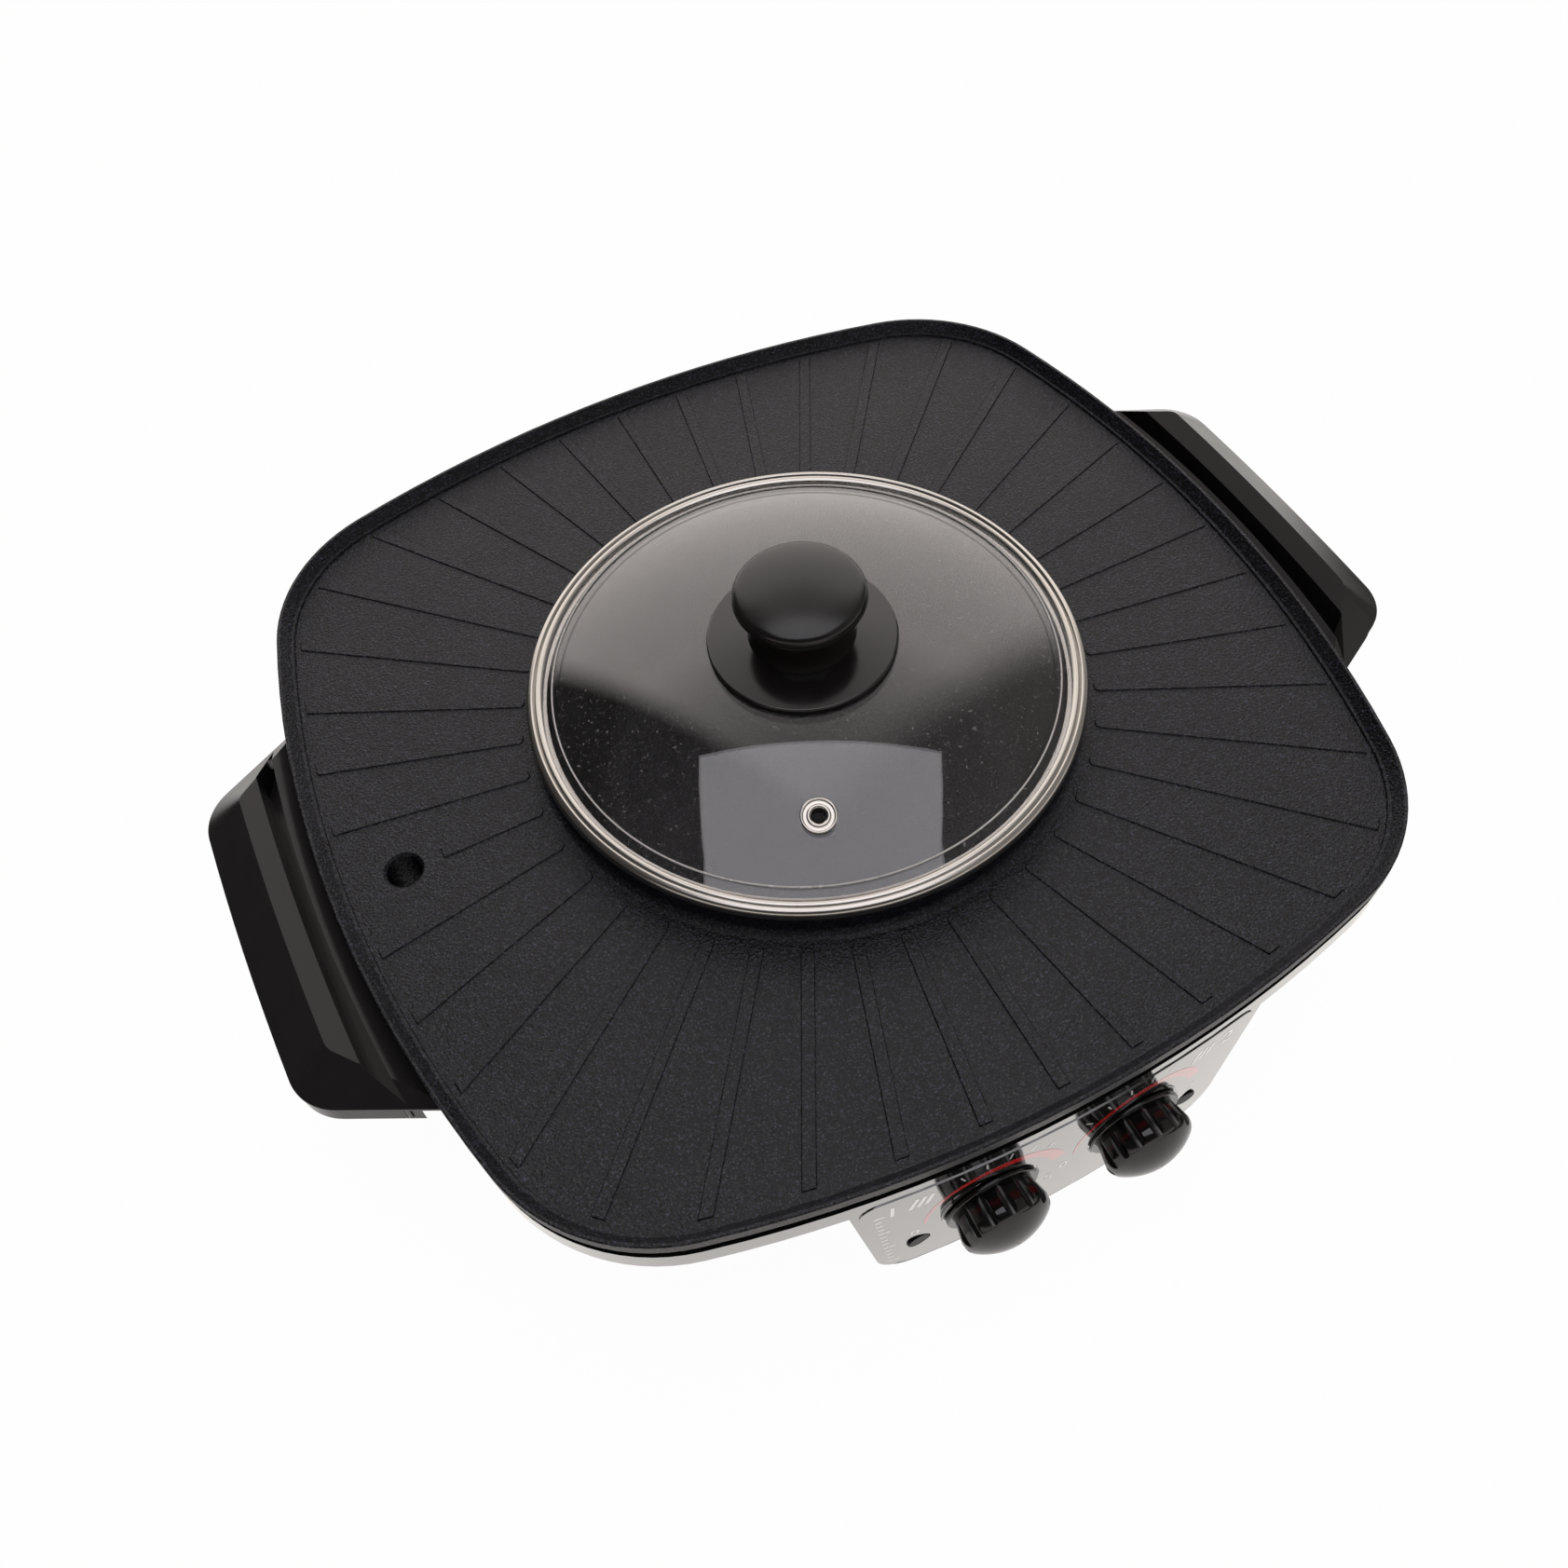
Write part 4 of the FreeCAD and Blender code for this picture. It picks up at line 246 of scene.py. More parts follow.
def makePolishedSteel():
    # rolled and buffed stainless steel: bright, with faint lines that run round the ring
    look = {"colours": ("#b9b5af", "#aeaaa4"), "roughness": (0.2, 0.26), "relief": (0.001, 0.1),
            "lineMm": 0.3, "stainMm": 12.0}
    material, tree, shader, place = newMaterial("polishedStainlessSteel")
    shader.inputs["Metallic"].default_value = 1.0
    distance = addNode(tree, "ShaderNodeVectorMath", {"operation": "LENGTH"}, {0: place}).outputs["Value"]
    rounds = addNode(tree, "ShaderNodeCombineXYZ", {}, {"X": distance})
    lines = addNode(tree, "ShaderNodeTexNoise", {"Scale": perMetre(look["lineMm"]), "Detail": 2.0},
                    {"Vector": rounds})
    stain = addNode(tree, "ShaderNodeTexNoise", {"Scale": perMetre(look["stainMm"]), "Detail": 2.0},
                    {"Vector": place})
    finishSurface(tree, shader, (stain, *look["colours"]), (lines, *look["roughness"]),
                  (lines, *look["relief"]))
    return material


def makeZincSteel():
    # zinc-plated steel: soft grey metal with a slightly cloudy plating
    look = {"colours": ("#a9abad", "#8c8f93"), "roughness": (0.28, 0.42), "relief": (0.02, 0.3),
            "cloudMm": 2.5}
    material, tree, shader, place = newMaterial("zincPlatedSteel")
    shader.inputs["Metallic"].default_value = 1.0
    cloud = addNode(tree, "ShaderNodeTexNoise", {"Scale": perMetre(look["cloudMm"]), "Detail": 3.0},
                    {"Vector": place})
    finishSurface(tree, shader, (cloud, *look["colours"]), (cloud, *look["roughness"]),
                  (cloud, *look["relief"]))
    return material


def makeMillAluminium():
    # cold-rolled sheet: pale metal with straight rolling lines
    look = {"colours": ("#c9cacc", "#b2b4b7"), "roughness": (0.3, 0.45), "relief": (0.01, 0.4),
            "lineMm": 0.6, "stretch": 0.02}
    material, tree, shader, place = newMaterial("millFinishAluminium")
    shader.inputs["Metallic"].default_value = 1.0
    along = addNode(tree, "ShaderNodeMapping", {"Scale": (1.0, look["stretch"], 1.0)}, {"Vector": place})
    lines = addNode(tree, "ShaderNodeTexNoise", {"Scale": perMetre(look["lineMm"]), "Detail": 3.0},
                    {"Vector": along})
    finishSurface(tree, shader, (lines, *look["colours"]), (lines, *look["roughness"]),
                  (lines, *look["relief"]))
    return material


def makeHeaterSheath():
    # steel tube that has been glowing hot: brown-grey oxide in patches
    look = {"colours": ("#5d5650", "#8a8178"), "roughness": (0.4, 0.6), "relief": (0.03, 0.4),
            "patchMm": 9.0}
    material, tree, shader, place = newMaterial("oxidisedSteelSheath")
    shader.inputs["Metallic"].default_value = 1.0
    patches = addNode(tree, "ShaderNodeTexNoise",
                      {"Scale": perMetre(look["patchMm"]), "Detail": 4.0, "Roughness": 0.6},
                      {"Vector": place})
    oxide = addNode(tree, "ShaderNodeMapRange", noiseMiddle, {"Value": patches})
    finishSurface(tree, shader, (oxide, *look["colours"]), (patches, *look["roughness"]),
                  (patches, *look["relief"]))
    return material


def makeLidGlass():
    # tempered soda-lime glass: clear, with a breath of haze and scattered specks of dust on it
    look = {
        "tint": "#f5f4f5", "edge": "#eeeef0", "dust": "#dcdad8", "ior": 1.52, "cloudMm": 28.0,
        "haze": 0.005, "speck": 0.3,            # share of dust between and on the specks
        "speckMm": 1.3, "speckFrom": 0.61, "speckTo": 0.67,
    }
    material, tree, shader, place = newMaterial("temperedGlass")
    cloud = addNode(tree, "ShaderNodeTexNoise", {"Scale": perMetre(look["cloudMm"]), "Detail": 2.0},
                    {"Vector": place})
    tint = addNode(tree, "ShaderNodeMix",
                   {"data_type": "RGBA", 6: linearColour(look["tint"]), 7: linearColour(look["edge"])},
                   {0: cloud})
    tree.links.new(tint.outputs[2], shader.inputs["Base Color"])
    shader.inputs["Roughness"].default_value = 0.0
    shader.inputs["Transmission Weight"].default_value = 1.0
    shader.inputs["IOR"].default_value = look["ior"]
    dust = addNode(tree, "ShaderNodeTexNoise",
                   {"Scale": perMetre(look["speckMm"]), "Detail": 5.0, "Roughness": 0.75}, {"Vector": place})
    share = {"From Min": look["speckFrom"], "From Max": look["speckTo"],
             "To Min": look["haze"], "To Max": look["speck"]}
    specks = addNode(tree, "ShaderNodeMapRange", share, {"Value": dust})
    veil = addNode(tree, "ShaderNodeBsdfDiffuse", {"Color": linearColour(look["dust"])})
    mix = addNode(tree, "ShaderNodeMixShader", {}, {0: specks, 1: shader, 2: veil})
    tree.links.new(mix.outputs["Shader"], tree.nodes["Material Output"].inputs["Surface"])
    return material


def makeEdgeReflectionSilicone():
    # milky, partly clear silicone-like material for a painted reflection: the bright line that the glass's
    # ground edge makes
    look = {"colours": ("#d9d7d4", "#c8c5c1"), "roughness": (0.2, 0.3), "relief": (0.02, 0.3),
            "milkMm": 4.0, "clear": 0.3, "ior": 1.41}
    material, tree, shader, place = newMaterial("paleEdgeReflectionSilicone")
    milk = addNode(tree, "ShaderNodeTexNoise", {"Scale": perMetre(look["milkMm"]), "Detail": 2.0},
                   {"Vector": place})
    finishSurface(tree, shader, (milk, *look["colours"]), (milk, *look["roughness"]),
                  (milk, *look["relief"]))
    shader.inputs["Transmission Weight"].default_value = look["clear"]
    shader.inputs["IOR"].default_value = look["ior"]
    return material


def makeRubber():
    # moulded silicone rubber: dull black that scatters light softly
    look = {"colours": ("#141414", "#1f1f1f"), "roughness": (0.65, 0.8), "relief": (0.05, 0.5),
            "grainMm": 0.7}
    material, tree, shader, place = newMaterial("siliconeRubber")
    grain = addNode(tree, "ShaderNodeTexNoise", {"Scale": perMetre(look["grainMm"]), "Detail": 3.0},
                    {"Vector": place})
    finishSurface(tree, shader, (grain, *look["colours"]), (grain, *look["roughness"]),
                  (grain, *look["relief"]))
    return material


def makeCeramic():
    # unglazed steatite: warm white and chalky
    look = {"colours": ("#e2dccd", "#d2cab8"), "roughness": (0.6, 0.75), "relief": (0.03, 0.4),
            "poreMm": 0.9}
    material, tree, shader, place = newMaterial("steatiteCeramic")
    pores = addNode(tree, "ShaderNodeTexNoise", {"Scale": perMetre(look["poreMm"]), "Detail": 4.0},
                    {"Vector": place})
    finishSurface(tree, shader, (pores, *look["colours"]), (pores, *look["roughness"]),
                  (pores, *look["relief"]))
    return material


def makeBrass():
    # stamped brass blades, lightly tarnished
    look = {"colours": ("#d9bf86", "#b89a5e"), "roughness": (0.2, 0.35), "relief": (0.01, 0.3),
            "tarnishMm": 3.0}
    material, tree, shader, place = newMaterial("stampedBrass")
    shader.inputs["Metallic"].default_value = 1.0
    tarnish = addNode(tree, "ShaderNodeTexNoise", {"Scale": perMetre(look["tarnishMm"]), "Detail": 3.0},
                      {"Vector": place})
    finishSurface(tree, shader, (tarnish, *look["colours"]), (tarnish, *look["roughness"]),
                  (tarnish, *look["relief"]))
    return material


def makeSleeve(name, mainHex, secondHex):
    # braided sleeve over a wire: fine crossing threads
    sleeve = {"braidMm": 0.8, "roughness": (0.5, 0.65), "relief": (0.08, 0.6)}
    material, tree, shader, place = newMaterial(name)
    braid = addNode(tree, "ShaderNodeTexVoronoi", {"Scale": perMetre(sleeve["braidMm"])},
                    {"Vector": place})
    finishSurface(tree, shader, (braid, mainHex, secondHex), (braid, *sleeve["roughness"]),
                  (braid, *sleeve["relief"]))
    return material


def makePrintInk(look):
    # screen-printed ink sealed under the same hard coat as the film: flat, even colour with a bright skin
    ink = {"patchMm": 1.2, "roughness": (0.12, 0.2), "relief": (0.005, 0.2), "ior": 1.5}
    material, tree, shader, place = newMaterial(look["name"])
    patch = addNode(tree, "ShaderNodeTexNoise", {"Scale": perMetre(ink["patchMm"]), "Detail": 3.0},
                    {"Vector": place})
    finishSurface(tree, shader, (patch, *look["colours"]), (patch, *ink["roughness"]),
                  (patch, *ink["relief"]))
    shader.inputs["IOR"].default_value = ink["ior"]
    addHardCoat(shader, look["coatIor"])
    return material


nonStick = makeNonStickCoating()
glossHandle = makeGlossPlastic({
    "name": "polishedBlackPolypropylene", "colours": ("#1d1c1c", "#232121"),
    "roughness": (0.16, 0.22), "ior": 1.3, "waveMm": 9.0,
})
glossKnob = makeGlossPlastic({
    "name": "polishedBlackAbs", "colours": ("#0a0a0a", "#0e0d0d"),
    "roughness": (0.13, 0.18), "ior": 1.5, "waveMm": 6.0,
})
glossDisc = makeGlossPlastic({
    "name": "polishedBlackPhenolic", "colours": ("#131212", "#181616"),
    "roughness": (0.12, 0.18), "ior": 1.5, "waveMm": 8.0,
})
lampLens = makeGlossPlastic({       # unlit, so nearly black, and softer than the panel round it
    "name": "smokedAcrylicLens", "colours": ("#080304", "#0c0405"),
    "roughness": (0.3, 0.4), "ior": 1.15, "waveMm": 3.0,
})
panelSkin = makeMirrorSkin({
    "name": "hardCoatedPolycarbonateFilm", "colours": ("#1a1918", "#1e1d1b"), "ior": 1.85,
})
shellSkin = makeMirrorSkin({"name": "uvCoatedBlackAbs", "colours": ("#121111", "#171615"), "ior": 1.85})
satinHandle = makeSatinPlastic({
    "name": "satinBlackPhenolic", "colours": ("#100f0f", "#151413"), "roughness": (0.2, 0.26), "grainMm": 0.5,
})
satinCover = makeSatinPlastic({
    "name": "satinBlackPolypropylene", "colours": ("#131313", "#1a1a1a"), "roughness": (0.4, 0.5),
    "grainMm": 0.7,
})
polishedSteel = makePolishedSteel()
zincSteel = makeZincSteel()
millAluminium = makeMillAluminium()
heaterSheath = makeHeaterSheath()
lidGlass = makeLidGlass()
edgeReflectionSilicone = makeEdgeReflectionSilicone()
rubber = makeRubber()
ceramic = makeCeramic()
brass = makeBrass()
whiteInk = makePrintInk({"name": "whiteScreenInk", "colours": ("#ffffff", "#f4f2ee"), "coatIor": 2.1})
redInk = makePrintInk({"name": "redScreenInk", "colours": ("#e0262a", "#cc1f24"), "coatIor": 1.9})

# which nodes have which finish
finishes = {
    nonStick: ["grill_casting"],
    shellSkin: ["base_shell"],
    glossHandle: ["right_handle", "left_handle", "right_handle_cover", "left_handle_cover"],
    glossKnob: ["pot_knob", "grill_knob"],
    panelSkin: ["panel_film"],
    lampLens: ["pot_lamp", "grill_lamp"],
    satinHandle: ["lid_handle"],
    glossDisc: ["lid_disc"],
    satinCover: ["bottom_cover", "power_inlet"],
    polishedSteel: ["lid_rim", "vent_eyelet"],
    zincSteel: ["case_screws", "handle_screws", "handle_cover_screws", "thermostat_screws", "inlet_screws",
                "heater_pins", "pot_control_shaft", "grill_control_shaft", "lid_screw", "lid_washer"],
    millAluminium: ["heat_shield"],
    heaterSheath: ["pot_heater", "grill_heater"],
    lidGlass: ["lid_glass"],
    rubber: ["foot_front_left", "foot_front_right", "foot_rear_left", "foot_rear_right", "lid_gasket"],
    ceramic: ["pot_thermostat", "grill_thermostat", "heater_insulators", "thermal_fuse", "terminal_block"],
    brass: ["inlet_pins"],
    makeSleeve("brownSiliconeSleeve", "#5a3320", "#46261a"): ["live_lead"],
    makeSleeve("blueSiliconeSleeve", "#2a58a6", "#1f4486"): ["neutral_lead"],
    makeSleeve("greenSiliconeSleeve", "#5f9a2f", "#c9c23a"): ["earth_lead"],
    makeSleeve("whiteGlassFibreSleeve", "#e6e3d8", "#cfcbbd"): ["control_leads", "heater_leads"],
}
for material, names in finishes.items():
    for name in names:
        nodes[name].data.materials.clear()
        nodes[name].data.materials.append(material)
report("materials")


# printed panel
panel = {
    "bulge": 427.9 * mm,        # radius of the panel's curve in plan
    "lift": 0.015 * mm,         # underside of the ink above the film
    "inkThick": 0.02 * mm,
}
filmLow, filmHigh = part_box("panel_film")
panelCentreY = filmLow.y + panel["bulge"]


def dialCentre(knobName):
    low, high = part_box(knobName)
    return (low.x + high.x) / 2, (low.z + high.z) / 2


def panelY(x):
    return panelCentreY - math.sqrt(panel["bulge"] ** 2 - x ** 2)


def finishPrint(piece, name, ink):
    # lays a flat piece, drawn in X and Z, on the curved film and gives it the ink's thickness
    piece.name = name
    for point in piece.data.vertices:
        point.co.y = panelY(point.co.x) - panel["lift"]
    selectOnly([piece])
    bpy.ops.object.mode_set(mode="EDIT")
    bpy.ops.mesh.select_all(action="SELECT")
    bpy.ops.mesh.normals_make_consistent(inside=False)
    bpy.ops.object.mode_set(mode="OBJECT")
    if piece.data.polygons[0].normal.y > 0:
        piece.data.flip_normals()
    thick = piece.modifiers.new("thick", "SOLIDIFY")
    thick.thickness = panel["inkThick"]
    thick.offset = 1.0
    bpy.ops.object.modifier_apply(modifier="thick")
    piece.data.materials.clear()
    piece.data.materials.append(ink)
    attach(piece, "base")


def joinPieces(pieces):
    selectOnly(pieces)
    bpy.ops.object.join()
    return bpy.context.view_layer.objects.active


def flatBar(x, z, width, height, turn=0.0):
    # a small upright strip in six parts, so that it can follow the panel's curve
    deselectAll()
    bpy.ops.mesh.primitive_grid_add(x_subdivisions=6, y_subdivisions=2, size=1.0, location=(0, 0, 0))
    strip = bpy.context.active_object
    for point in strip.data.vertices:
        across = point.co.x * width
        up = point.co.y * height
        point.co = Vector((x + across * math.cos(turn) - up * math.sin(turn), 0,
                           z + across * math.sin(turn) + up * math.cos(turn)))
    return strip


def heatSweep(centreX, centreZ):
    # a crescent that widens from the low end on the left to the high end on the right
    sweep = {
        "radius": 20.3 * mm, "start": 182.0, "end": 12.0,       # degrees
        "thin": 0.9 * mm, "thick": 4.7 * mm, "swell": 1.2, "steps": 72,
    }
    deselectAll()
    bpy.ops.mesh.primitive_grid_add(x_subdivisions=sweep["steps"], y_subdivisions=2, size=1.0,
                                    location=(0, 0, 0))
    piece = bpy.context.active_object
    for point in piece.data.vertices:
        along = point.co.x + 0.5
        angle = math.radians(sweep["start"] + (sweep["end"] - sweep["start"]) * along)
        width = sweep["thin"] + (sweep["thick"] - sweep["thin"]) * along ** sweep["swell"]
        radius = sweep["radius"] + (point.co.y + 0.5) * width
        point.co = Vector((centreX + radius * math.cos(angle), 0, centreZ + radius * math.sin(angle)))
    return piece


def printedNumber(text, x, z, height):
    # a plain numeral, turned to a mesh and stood up on the panel
    fontShare = 1.35        # size of the font over the height of its numerals
    deselectAll()
    bpy.ops.object.text_add(location=(0, 0, 0))
    numeral = bpy.context.active_object
    numeral.data.body = text
    numeral.data.align_x = "CENTER"
    numeral.data.align_y = "CENTER"
    numeral.data.size = height * fontShare
    bpy.ops.object.convert(target="MESH")
    numeral = bpy.context.active_object
    for point in numeral.data.vertices:
        point.co = Vector((x + point.co.x, 0, z + point.co.y))
    return numeral


# places of the two numbers are in mm from the knob's centre, the first tick in degrees
dials = [
    {"name": "pot", "knob": "pot_knob", "firstTick": 112, "low": (-24.0, -5.0), "high": (20.0, -9.0)},
    {"name": "grill", "knob": "grill_knob", "firstTick": 132, "low": (-24.0, -5.0), "high": (23.5, -4.0)},
]


def addDialPrint(dial):
    # the red sweep, five ticks over it, and a number at each end
    ticks = {"count": 5, "step": 16, "radius": 27.0 * mm, "wide": 0.55 * mm, "long": 3.6 * mm,
             "underTop": 2.6 * mm, "numberHigh": 4.4 * mm}
    centreX, centreZ = dialCentre(dial["knob"])
    finishPrint(heatSweep(centreX, centreZ), dial["name"] + "HeatSweep", redInk)
    strokes = []
    for step in range(ticks["count"]):
        angle = math.radians(dial["firstTick"] - step * ticks["step"])
        x = centreX + ticks["radius"] * math.cos(angle)
        z = min(centreZ + ticks["radius"] * math.sin(angle), filmHigh.z - ticks["underTop"])
        strokes.append(flatBar(x, z, ticks["wide"], ticks["long"], angle - math.pi / 2))
    finishPrint(joinPieces(strokes), dial["name"] + "DialTicks", whiteInk)
    numbers = []
    for text, place in (("0", dial["low"]), ("5", dial["high"])):
        numbers.append(printedNumber(text, centreX + place[0] * mm, centreZ + place[1] * mm,
                                     ticks["numberHigh"]))
    finishPrint(joinPieces(numbers), dial["name"] + "DialNumbers", whiteInk)


def addZoneMarks():
    # the number of each cooking zone, with slanted bars beside it
    zone = {"numberHigh": 8.0 * mm, "inset": 9.5 * mm, "drop": 9.0 * mm, "bars": 3, "barFrom": 6.4 * mm,
            "barStep": 2.4 * mm, "barWide": 1.2 * mm, "barTall": 7.0 * mm, "barLean": -18}
    pieces = []
    z = filmHigh.z - zone["drop"]
    for text, x, side in (("1", filmLow.x + zone["inset"], 1), ("2", filmHigh.x - zone["inset"], -1)):
        pieces.append(printedNumber(text, x, z, zone["numberHigh"]))
        for index in range(zone["bars"]):
            offset = side * (zone["barFrom"] + zone["barStep"] * index)
            pieces.append(flatBar(x + offset, z, zone["barWide"], zone["barTall"],
                                  math.radians(zone["barLean"])))
    finishPrint(joinPieces(pieces), "zoneMarks", whiteInk)


def addEdgeScale():
    # a plain scale down the film's left edge, which leans inwards
    scale = {"ticks": 13, "wide": 2.0 * mm, "thick": 0.9 * mm, "longEvery": 4, "longShare": 1.7,
             "underTop": 10.0 * mm, "aboveFoot": 7.0 * mm, "inset": 3.0 * mm, "lean": 6.4 * mm}
    pieces = []
    top = filmHigh.z - scale["underTop"]
    bottom = filmLow.z + scale["aboveFoot"]
    lean = scale["lean"] / (filmHigh.z - filmLow.z)
    for index in range(scale["ticks"]):
        z = top + (bottom - top) * index / (scale["ticks"] - 1)
        x = filmLow.x + scale["inset"] + (filmHigh.z - z) * lean
        length = scale["wide"] * (scale["longShare"] if index % scale["longEvery"] == 0 else 1.0)
        pieces.append(flatBar(x + length / 2, z, length, scale["thick"]))
    finishPrint(joinPieces(pieces), "edgeScale", whiteInk)


for dial in dials:
    addDialPrint(dial)
addZoneMarks()
addEdgeScale()
report("panel print")


# lid pieces: the steel ring, its seal, the knob and the vent
def spunRing(section, name, steps=240):
    # a closed section in X and Z, spun round the lid's axis
    mergeWithin = 0.002 * mm
    deselectAll()
    bpy.ops.mesh.primitive_circle_add(vertices=len(section), radius=mm, location=(0, 0, 0))
    ring = bpy.context.active_object
    ring.name = name
    for point, place in zip(ring.data.vertices, section):
        point.co = Vector((place[0], 0, place[1]))
    bpy.ops.object.mode_set(mode="EDIT")
    bpy.ops.mesh.select_all(action="SELECT")
    bpy.ops.mesh.spin(steps=steps, angle=2 * math.pi, center=(0, 0, 0), axis=(0, 0, 1))
    bpy.ops.mesh.select_all(action="SELECT")
    bpy.ops.mesh.remove_doubles(threshold=mergeWithin)
    bpy.ops.mesh.select_all(action="SELECT")
    bpy.ops.mesh.delete_loose(use_verts=True, use_edges=True, use_faces=False)
    bpy.ops.mesh.select_all(action="SELECT")
    bpy.ops.mesh.normals_make_consistent(inside=False)
    bpy.ops.object.mode_set(mode="OBJECT")
    return ring


def finishSpun(piece, material, sharpFrom):
    # edges that turn by more degrees than sharpFrom stay crisp
    selectOnly([piece])
    bpy.ops.object.shade_smooth_by_angle(angle=math.radians(sharpFrom))
    piece.data.materials.append(material)
    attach(piece, "lid")


def bow(start, end, rise, count, sideways=False):
    # points along a low arc from start to just before end
    points = []
    for index in range(count):
        along = index / count
        swell = rise * 4 * along * (1 - along)
        x = start[0] + (end[0] - start[0]) * along
        z = start[1] + (end[1] - start[1]) * along
        points.append((x + swell, z) if sideways else (x, z + swell))
    return points


def turned(centre, radius, first, last, count):
    # points round an arc, from the first angle to the last, in degrees
    points = []
    for index in range(count + 1):
        angle = math.radians(first + (last - first) * index / count)
        points.append((centre[0] + radius * math.cos(angle), centre[1] + radius * math.sin(angle)))
    return points


def addLidRing():
    # steel strip rolled over the glass: two polished crowns with a groove between them, and a skirt below
    ring = {
        "deep": 5.0 * mm, "width": 5.0 * mm, "wall": 1.5 * mm, "strip": 0.7 * mm, "lip": 0.9 * mm,
        "corner": 2.0 * mm, "cornerEnd": 78,            # degrees up the outer corner
        "outerCrown": 0.35 * mm, "innerCrown": 0.5 * mm, "groove": 0.55 * mm, "grooveAt": 2.7 * mm,
        "skirtOut": 6.4 * mm, "skirtIn": 7.1 * mm,      # from the ring's outside
    }
    low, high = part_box("lid_rim")
    wide = high.x
    top = high.z
    foot = low.z
    base = top - ring["deep"]
    corner = ring["corner"]
    grooveTop = top - ring["groove"]
    lipFoot = grooveTop - ring["lip"]
    stripTop = base + ring["strip"]
    groove = (wide - ring["grooveAt"], grooveTop)
    inner = (wide - ring["width"], grooveTop)
    section = turned((wide - corner, base + corner), corner, -90, 0, count=6)
    section += turned((wide - corner, top - corner), corner, 0, ring["cornerEnd"], count=7)
    section += bow(section[-1], groove, ring["outerCrown"], count=5)[1:]
    section += bow(groove, inner, ring["innerCrown"], count=8)
    section += [inner, (inner[0], lipFoot), (wide - ring["wall"], lipFoot), (wide - ring["wall"], stripTop)]
    section += [(wide - ring["skirtIn"], stripTop), (wide - ring["skirtIn"], foot),
                (wide - ring["skirtOut"], foot), (wide - ring["skirtOut"], base)]
    piece = spunRing(section, "lidRing")
    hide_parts("lid_rim")
    finishSpun(piece, polishedSteel, sharpFrom=40)


def glassHeight(glass, radius):
    # the upper face of the lid's dome
    return glass["apex"] - glass["bend"] + math.sqrt(glass["bend"] ** 2 - radius ** 2)


def addEdgeReflectionBead(glass):
    # a painted reflection: a thin milky bead on the glass just inside the ring, standing in for the bright
    # line of the glass's ground edge
    bead = {"radius": 81.3 * mm, "half": 0.3 * mm, "sunk": 0.05 * mm}
    height = glassHeight(glass, bead["radius"]) + bead["half"] - bead["sunk"]
    section = turned((bead["radius"], height), bead["half"], 0, 330, count=11)
    piece = spunRing(section, "edgeReflectionBead", steps=180)
    finishSpun(piece, edgeReflectionSilicone, sharpFrom=60)


def addLidKnob():
    # round cap on a waisted neck, hollow below round a hub for its screw
    knob = {
        "neck": 17.0 * mm, "waist": 16.4 * mm, "neckTop": 10.5 * mm, "flare": 0.3 * mm,
        "soft": 3.0 * mm, "wideAt": 16.5 * mm, "bore": 2.55 * mm, "boreDeep": 12.0 * mm,
        "hub": 6.0 * mm, "hollow": 12.5 * mm, "hollowDeep": 9.0 * mm,
    }
    low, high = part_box("lid_handle")
    base = low.z
    wide = high.x
    soft = knob["soft"]
    section = [(0, base + knob["boreDeep"]), (knob["bore"], base + knob["boreDeep"]), (knob["bore"], base),
               (knob["hub"], base), (knob["hub"], base + knob["hollowDeep"]),
               (knob["hollow"], base + knob["hollowDeep"]), (knob["hollow"], base)]
    foot = (knob["neck"], base)
    neckTop = (knob["waist"] + knob["flare"], base + knob["neckTop"])
    inwards = knob["waist"] - (knob["neck"] + neckTop[0]) / 2
    section += bow(foot, neckTop, inwards, count=10, sideways=True)
    section += [neckTop]
    wideZ = base + knob["wideAt"]
    rise = high.z - wideZ - soft
    drop = ((wide - soft) ** 2 - rise ** 2) / (2 * rise)
    lean = math.degrees(math.atan2(drop, wide - soft))
    section += turned((wide - soft, wideZ), soft, -90, lean, count=20)
    section += turned((0, wideZ - drop), math.hypot(wide - soft, drop) + soft, lean, 90, count=12)[1:]
    piece = spunRing(section, "lidKnob", steps=120)
    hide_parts("lid_handle")
    finishSpun(piece, satinHandle, sharpFrom=50)


